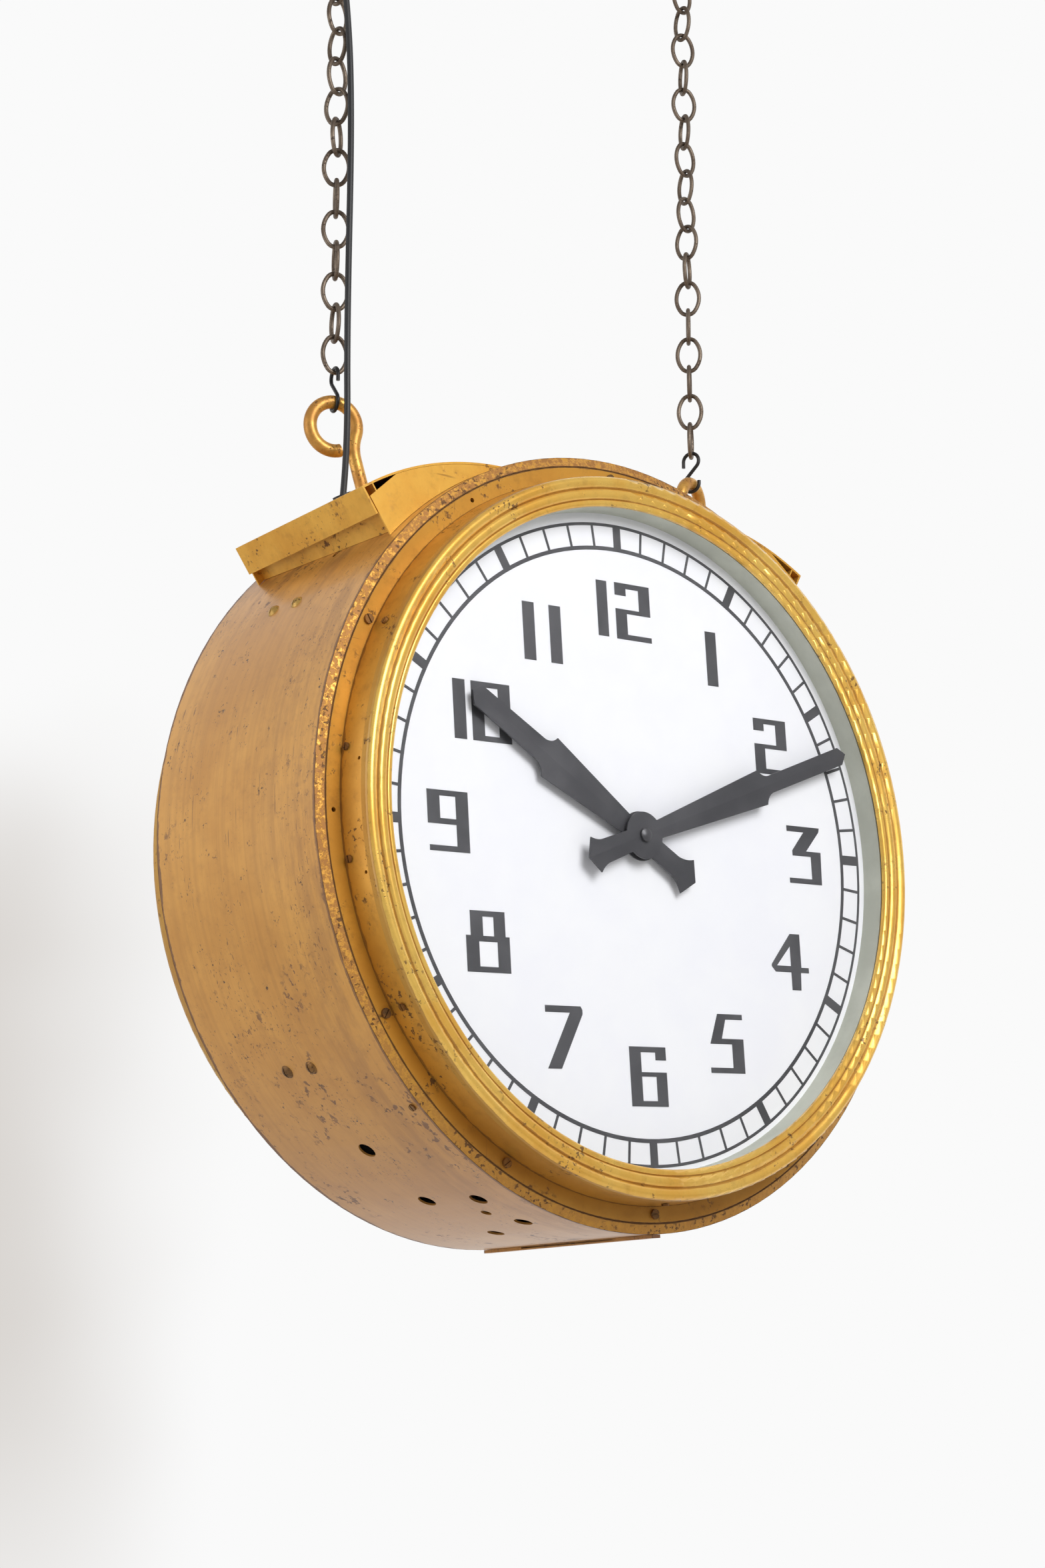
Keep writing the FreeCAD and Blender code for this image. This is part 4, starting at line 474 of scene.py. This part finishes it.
def gold_paint():
    """Gold paint on the rings, flaking to copper brown on the rim band."""
    f = Finish("gold_paint")
    at = f.effect("clock_place")
    base, second = rgb(*RING_GOLD), rgb(*RING_MUSTARD)
    paint = f.effect("patina", Base=base, Second=second, Dark=rgb(120, 78, 34), Cloud=9.0, Mottle=0.26)
    depth = f.math("ABSOLUTE", at["Depth"])
    outside = f.steps(at["Radius"], RIM_JOINT_RADIUS, RIM_JOINT_RADIUS + 0.0003)
    rim = f.times(outside, f.steps(depth, 0.1168, 0.1178))
    upper_left = f.steps(f.math("SUBTRACT", at["Height"], at["Side"]), -0.1, 0.3)
    color = f.mix(f.times(rim, 0.6), paint["Color"], rgb(222, 164, 70))
    # Painted shade: the rings grow darker towards the bottom
    lower_shade = f.steps(at["Height"], -0.1, -0.33)
    color = f.mix(f.times(lower_shade, 0.35), color, rgb(134, 88, 34))
    flakes = f.steps(f.noise(f.place(), 150.0, 8.0, 0.78), 0.42, 0.55)
    copper = f.times(rim, f.blend(upper_left, 0.3, 0.75), flakes)
    color = f.mix(copper, color, rgb(146, 96, 54))
    edge = f.worn(at["Radius"], DRUM_EDGE_RADIUS, width=0.0016, gaps=0.55, grain=90.0)
    joint = f.worn(at["Radius"], RIM_JOINT_RADIUS, width=0.0016, gaps=0.3, grain=70.0)
    foot = f.worn(at["Radius"], NECK_FOOT_RADIUS, width=0.0005, gaps=0.45, grain=50.0)
    chips = f.chips(grain=210.0, patch=26.0, amount=f.blend(rim, 0.3, 0.52))
    scratches = f.scratches(0.4)
    worn = f.most(chips, edge, f.times(joint, 0.9), f.times(foot, 0.6))
    color = f.mix(f.times(worn, 0.85), color, rgb(*CHIP_DARK))
    color = f.mix(f.times(scratches, 0.5), color, rgb(120, 80, 40))
    rough = f.blend(paint["Cloud"], 0.34, 0.46)
    rough = f.blend(f.most(worn, copper), rough, 0.6)
    tooth = f.tooth(520.0)
    height = f.math("SUBTRACT", f.times(tooth, 0.4), f.most(worn, f.times(copper, 0.7)))
    return f.done(color, rough, 0.45, f.bump(height, 0.00022, 0.7))


def bezel_brass():
    """Lacquered gold bezel, brown in its grooves, with small chips."""
    f = Finish("bezel_brass")
    at = f.effect("clock_place")
    base, second = rgb(*BEZEL_GOLD), rgb(*BEZEL_AMBER)
    metal = f.effect("patina", Base=base, Second=second, Dark=rgb(138, 92, 38), Cloud=11.0, Mottle=0.22)
    grime = []
    for radius, width, gaps in BEZEL_GROOVES:
        grime.append(f.worn(at["Radius"], radius, width=width, gaps=gaps, grain=34.0))
    dirt = f.most(*grime)
    chips = f.chips(grain=240.0, patch=26.0, amount=0.34)
    color = f.mix(f.times(dirt, 0.6), metal["Color"], rgb(146, 96, 40))
    color = f.mix(f.times(chips, 0.85), color, rgb(92, 60, 32))
    rough = f.blend(metal["Cloud"], 0.26, 0.38)
    rough = f.blend(f.most(dirt, chips), rough, 0.55)
    tooth = f.tooth(380.0)
    height = f.math("SUBTRACT", f.times(tooth, 0.5), chips)
    f.surface.inputs["Coat Weight"].default_value = 0.45
    f.surface.inputs["Coat Roughness"].default_value = 0.12
    return f.done(color, rough, 0.55, f.bump(height, 0.0002, 0.5))


def aged_metal(name, base, second, dark, metallic, rough, chips, mottle=0.45):
    """Steel or brass that has dulled in clouds, with small dark pits."""
    f = Finish(name)
    tones = {"Base": rgb(*base), "Second": rgb(*second), "Dark": rgb(*dark)}
    skin = f.effect("patina", Cloud=38.0, Mottle=mottle, **tones)
    pits = f.chips(grain=420.0, patch=60.0, amount=chips)
    color = f.mix(f.times(pits, 0.8), skin["Color"], rgb(*dark))
    gloss = f.blend(f.most(skin["Cloud"], pits), rough, rough + 0.16)
    tooth = f.tooth(700.0)
    height = f.math("SUBTRACT", f.times(tooth, 0.5), pits)
    return f.done(color, gloss, metallic, f.bump(height, 0.0002, 0.6))


def smooth_coat(name, base, second, rough, metallic=0.0, scale=500.0, depth=0.00006):
    """Paint, enamel, rubber or plastic: nearly even, with a fine tooth and a few rubbed places."""
    f = Finish(name)
    coat = f.effect("patina", Base=rgb(*base), Second=rgb(*second), Dark=rgb(*second), Cloud=12.0, Mottle=0.3)
    gloss = f.blend(coat["Cloud"], rough - 0.05, rough + 0.05)
    tooth = f.tooth(scale)
    return f.done(coat["Color"], gloss, metallic, f.bump(tooth, depth, 0.5))


def pane_glass():
    """Clear pane: lets shadow and diffuse rays straight through."""
    f = Finish("pane_glass")
    f.surface.inputs["Transmission Weight"].default_value = 1.0
    f.surface.inputs["IOR"].default_value = 1.12
    f.surface.inputs["Base Color"].default_value = (1.0, 1.0, 1.0, 1.0)
    f.feed(f.surface.inputs["Roughness"], f.times(f.noise(f.place(), 6.0, 4.0, 0.6), 0.03))
    path = f.node("ShaderNodeLightPath")
    through = f.most(path.outputs["Is Shadow Ray"], path.outputs["Is Diffuse Ray"])
    mixed = f.node("ShaderNodeMixShader")
    f.feed(mixed.inputs[0], through)
    f.feed(mixed.inputs[1], f.surface.outputs[0])
    f.feed(mixed.inputs[2], f.node("ShaderNodeBsdfTransparent").outputs[0])
    f.feed(f.output.inputs["Surface"], mixed.outputs[0])
    return f.material


FINISHES = {
    "drum_paint": drum_paint(),
    "hood_paint": hood_paint(),
    "gold_paint": gold_paint(),
    "bezel_brass": bezel_brass(),
    "glass": pane_glass(),
    "reveal_paint": smooth_coat("reveal_paint", (200, 203, 190), (184, 187, 174), 0.5),
    "dial_enamel": smooth_coat("dial_enamel", (246, 247, 251), (242, 243, 249), 0.42),
    "print_ink": smooth_coat("print_ink", (60, 60, 64), (78, 78, 82), 0.6),
    "hand_paint": smooth_coat("hand_paint", (66, 66, 70), (78, 78, 82), 0.42, 0.2),
    "frame_steel": aged_metal("frame_steel", (168, 168, 170), (150, 150, 150), (96, 92, 88), 0.85, 0.34, 0.3),
    "wheel_brass": aged_metal("wheel_brass", (208, 172, 96), (190, 150, 78), (120, 90, 50), 0.9, 0.3, 0.2),
    "coil_resin": smooth_coat("coil_resin", (124, 62, 30), (104, 50, 26), 0.45),
    "eye_bolt_gold": aged_metal(
        "eye_bolt_gold", (228, 176, 86), (190, 134, 62), (104, 66, 38), 0.5, 0.3, 0.42, 0.35
    ),
    "screw_brass": aged_metal("screw_brass", (196, 158, 86), (160, 122, 62), (90, 64, 38), 0.6, 0.36, 0.4),
    "dark_steel": aged_metal("dark_steel", (146, 104, 54), (104, 76, 46), (54, 40, 30), 0.6, 0.4, 0.4),
    "chain_steel": aged_metal("chain_steel", (126, 112, 98), (100, 86, 74), (62, 50, 42), 0.65, 0.42, 0.4),
    "black_wire": smooth_coat("black_wire", (36, 35, 36), (52, 49, 47), 0.4, 0.4),
    "cable_rubber": smooth_coat("cable_rubber", (30, 30, 32), (38, 38, 40), 0.5, 0.0, 900.0),
    "terminal_ceramic": smooth_coat("terminal_ceramic", (232, 228, 214), (222, 216, 200), 0.25),
    "rose_plastic": smooth_coat("rose_plastic", (236, 235, 230), (228, 226, 218), 0.35),
}


# Nodes whose finish differs from the rest of their slot
OWN_FINISH = {
    "hood_left": "hood_paint",
    "hood_right": "hood_paint",
    "lid_left": "hood_paint",
    "lid_right": "hood_paint",
    "eye_bolt_left": "eye_bolt_gold",
    "eye_bolt_right": "eye_bolt_gold",
    "upper_bar_screws": "screw_brass",
    "front_hand_nut": "hand_paint",
    "rear_hand_nut": "hand_paint",
}


def dress(obj, material):
    obj.data.materials.clear()
    obj.data.materials.append(material)


def dress_nodes():
    for entry in frame["record"]["subparts"]:
        finish = OWN_FINISH.get(entry["node"], entry["material_slot"])
        dress(frame["nodes"][entry["node"]], FINISHES[finish])


# Room and light


def make_plane(name, centre, across, up, width, height):
    mesh = bpy.data.meshes.new(name)
    corners = []
    for u, v in ((-1, -1), (1, -1), (1, 1), (-1, 1)):
        corners.append(centre + across * (u * width / 2) + up * (v * height / 2))
    mesh.from_pydata([tuple(c) for c in corners], [], [(0, 1, 2, 3)])
    plane = bpy.data.objects.new(name, mesh)
    bpy.context.scene.collection.objects.link(plane)
    return plane


def wall_paint(middle, across):
    """White wall with a painted soft shadow of the clock towards the lower left. The camera sees it at its
    own colour.
    """
    f = Finish("wall_paint")
    away = f.node("ShaderNodeVectorMath", operation="SUBTRACT")
    f.feed(away.inputs[0], f.place())
    away.inputs[1].default_value = middle
    along = f.node("ShaderNodeVectorMath", operation="DOT_PRODUCT")
    f.feed(along.inputs[0], away.outputs[0])
    along.inputs[1].default_value = across
    split = f.node("ShaderNodeSeparateXYZ")
    f.feed(split.inputs[0], away.outputs[0])
    wave = f.times(f.math("SUBTRACT", f.noise(away.outputs[0], 1.6, 2.0, 0.5), 0.5), 0.3)
    left = f.steps(f.math("ADD", along.outputs["Value"], wave), *PAINTED_SHADOW_SIDE)
    down = f.steps(f.math("ADD", split.outputs["Z"], wave), *PAINTED_SHADOW_HEIGHT)
    foot = f.steps(split.outputs["Z"], *PAINTED_SHADOW_FOOT)
    # Painted shadow of the clock, soft grey towards the lower left
    painted_shadow = f.times(left, down, f.blend(foot, 0.35, 1.0))
    color = f.mix(painted_shadow, rgb(*WALL_WHITE), rgb(*PAINTED_SHADOW_GREY))
    f.done(color, 0.9, 0.0, f.bump(f.tooth(260.0), 0.0001, 0.3))
    glow = f.node("ShaderNodeEmission")
    f.feed(glow.inputs["Color"], color)
    path = f.node("ShaderNodeLightPath")
    seen = f.most(
        path.outputs["Is Camera Ray"], path.outputs["Is Glossy Ray"], path.outputs["Is Transmission Ray"]
    )
    mixed = f.node("ShaderNodeMixShader")
    f.feed(mixed.inputs[0], seen)
    f.feed(mixed.inputs[1], f.surface.outputs[0])
    f.feed(mixed.inputs[2], glow.outputs[0])
    f.feed(f.output.inputs["Surface"], mixed.outputs[0])
    return f.material


def make_room(camera):
    """A pale wall across the view behind the clock and a pale floor far below it."""
    view = -(camera.matrix_world.to_3x3() @ Vector((0, 0, 1)))
    level = Vector((view.x, view.y, 0)).normalized()
    across = level.cross(Vector((0, 0, 1)))
    middle = CENTRE + level * WALL_DISTANCE
    up = Vector((0, 0, 1))
    wall = make_plane("wall", middle + up * WALL_RISE, across, up, WALL_WIDTH, WALL_HEIGHT)
    below = Vector((CENTRE.x, CENTRE.y, FLOOR_HEIGHT))
    floor = make_plane("floor", below, across, level, WALL_WIDTH, WALL_WIDTH)
    dress(wall, wall_paint(middle, across))
    dress(floor, smooth_coat("floor_paint", (246, 245, 243), (240, 239, 236), 0.7))


def make_light(name, place, target, size, power):
    data = bpy.data.lights.new(name, "AREA")
    data.size = size
    data.energy = power
    lamp = bpy.data.objects.new(name, data)
    bpy.context.scene.collection.objects.link(lamp)
    lamp.location = place
    lamp.rotation_euler = (target - place).to_track_quat("-Z", "Y").to_euler()


def make_lights(camera):
    """A large soft lamp above on the right, a weak one on the left, and an even room."""
    right = camera.matrix_world.to_3x3() @ Vector((1, 0, 0))
    back = camera.matrix_world.to_3x3() @ Vector((0, 0, 1))
    up = Vector((0, 0, 1))
    lamps = (("key", KEY_PLACE, KEY_SIZE, KEY_POWER), ("fill", FILL_PLACE, FILL_SIZE, FILL_POWER))
    for name, (aside, before, above), size, power in lamps:
        make_light(name, CENTRE + right * aside + back * before + up * above, CENTRE, size, power)
    world = bpy.data.worlds.new("room")
    world.use_nodes = True
    sky = world.node_tree.nodes["Background"]
    sky.inputs["Color"].default_value = (1.0, 1.0, 1.0, 1.0)
    sky.inputs["Strength"].default_value = ROOM_LIGHT
    bpy.context.scene.world = world
    bpy.context.scene.view_settings.view_transform = "Standard"


camera = make_camera()
make_cable()
dress_nodes()
dress(bpy.data.objects["supply_lead"], FINISHES["cable_rubber"])
make_room(camera)
make_lights(camera)

bpy.context.view_layer.update()
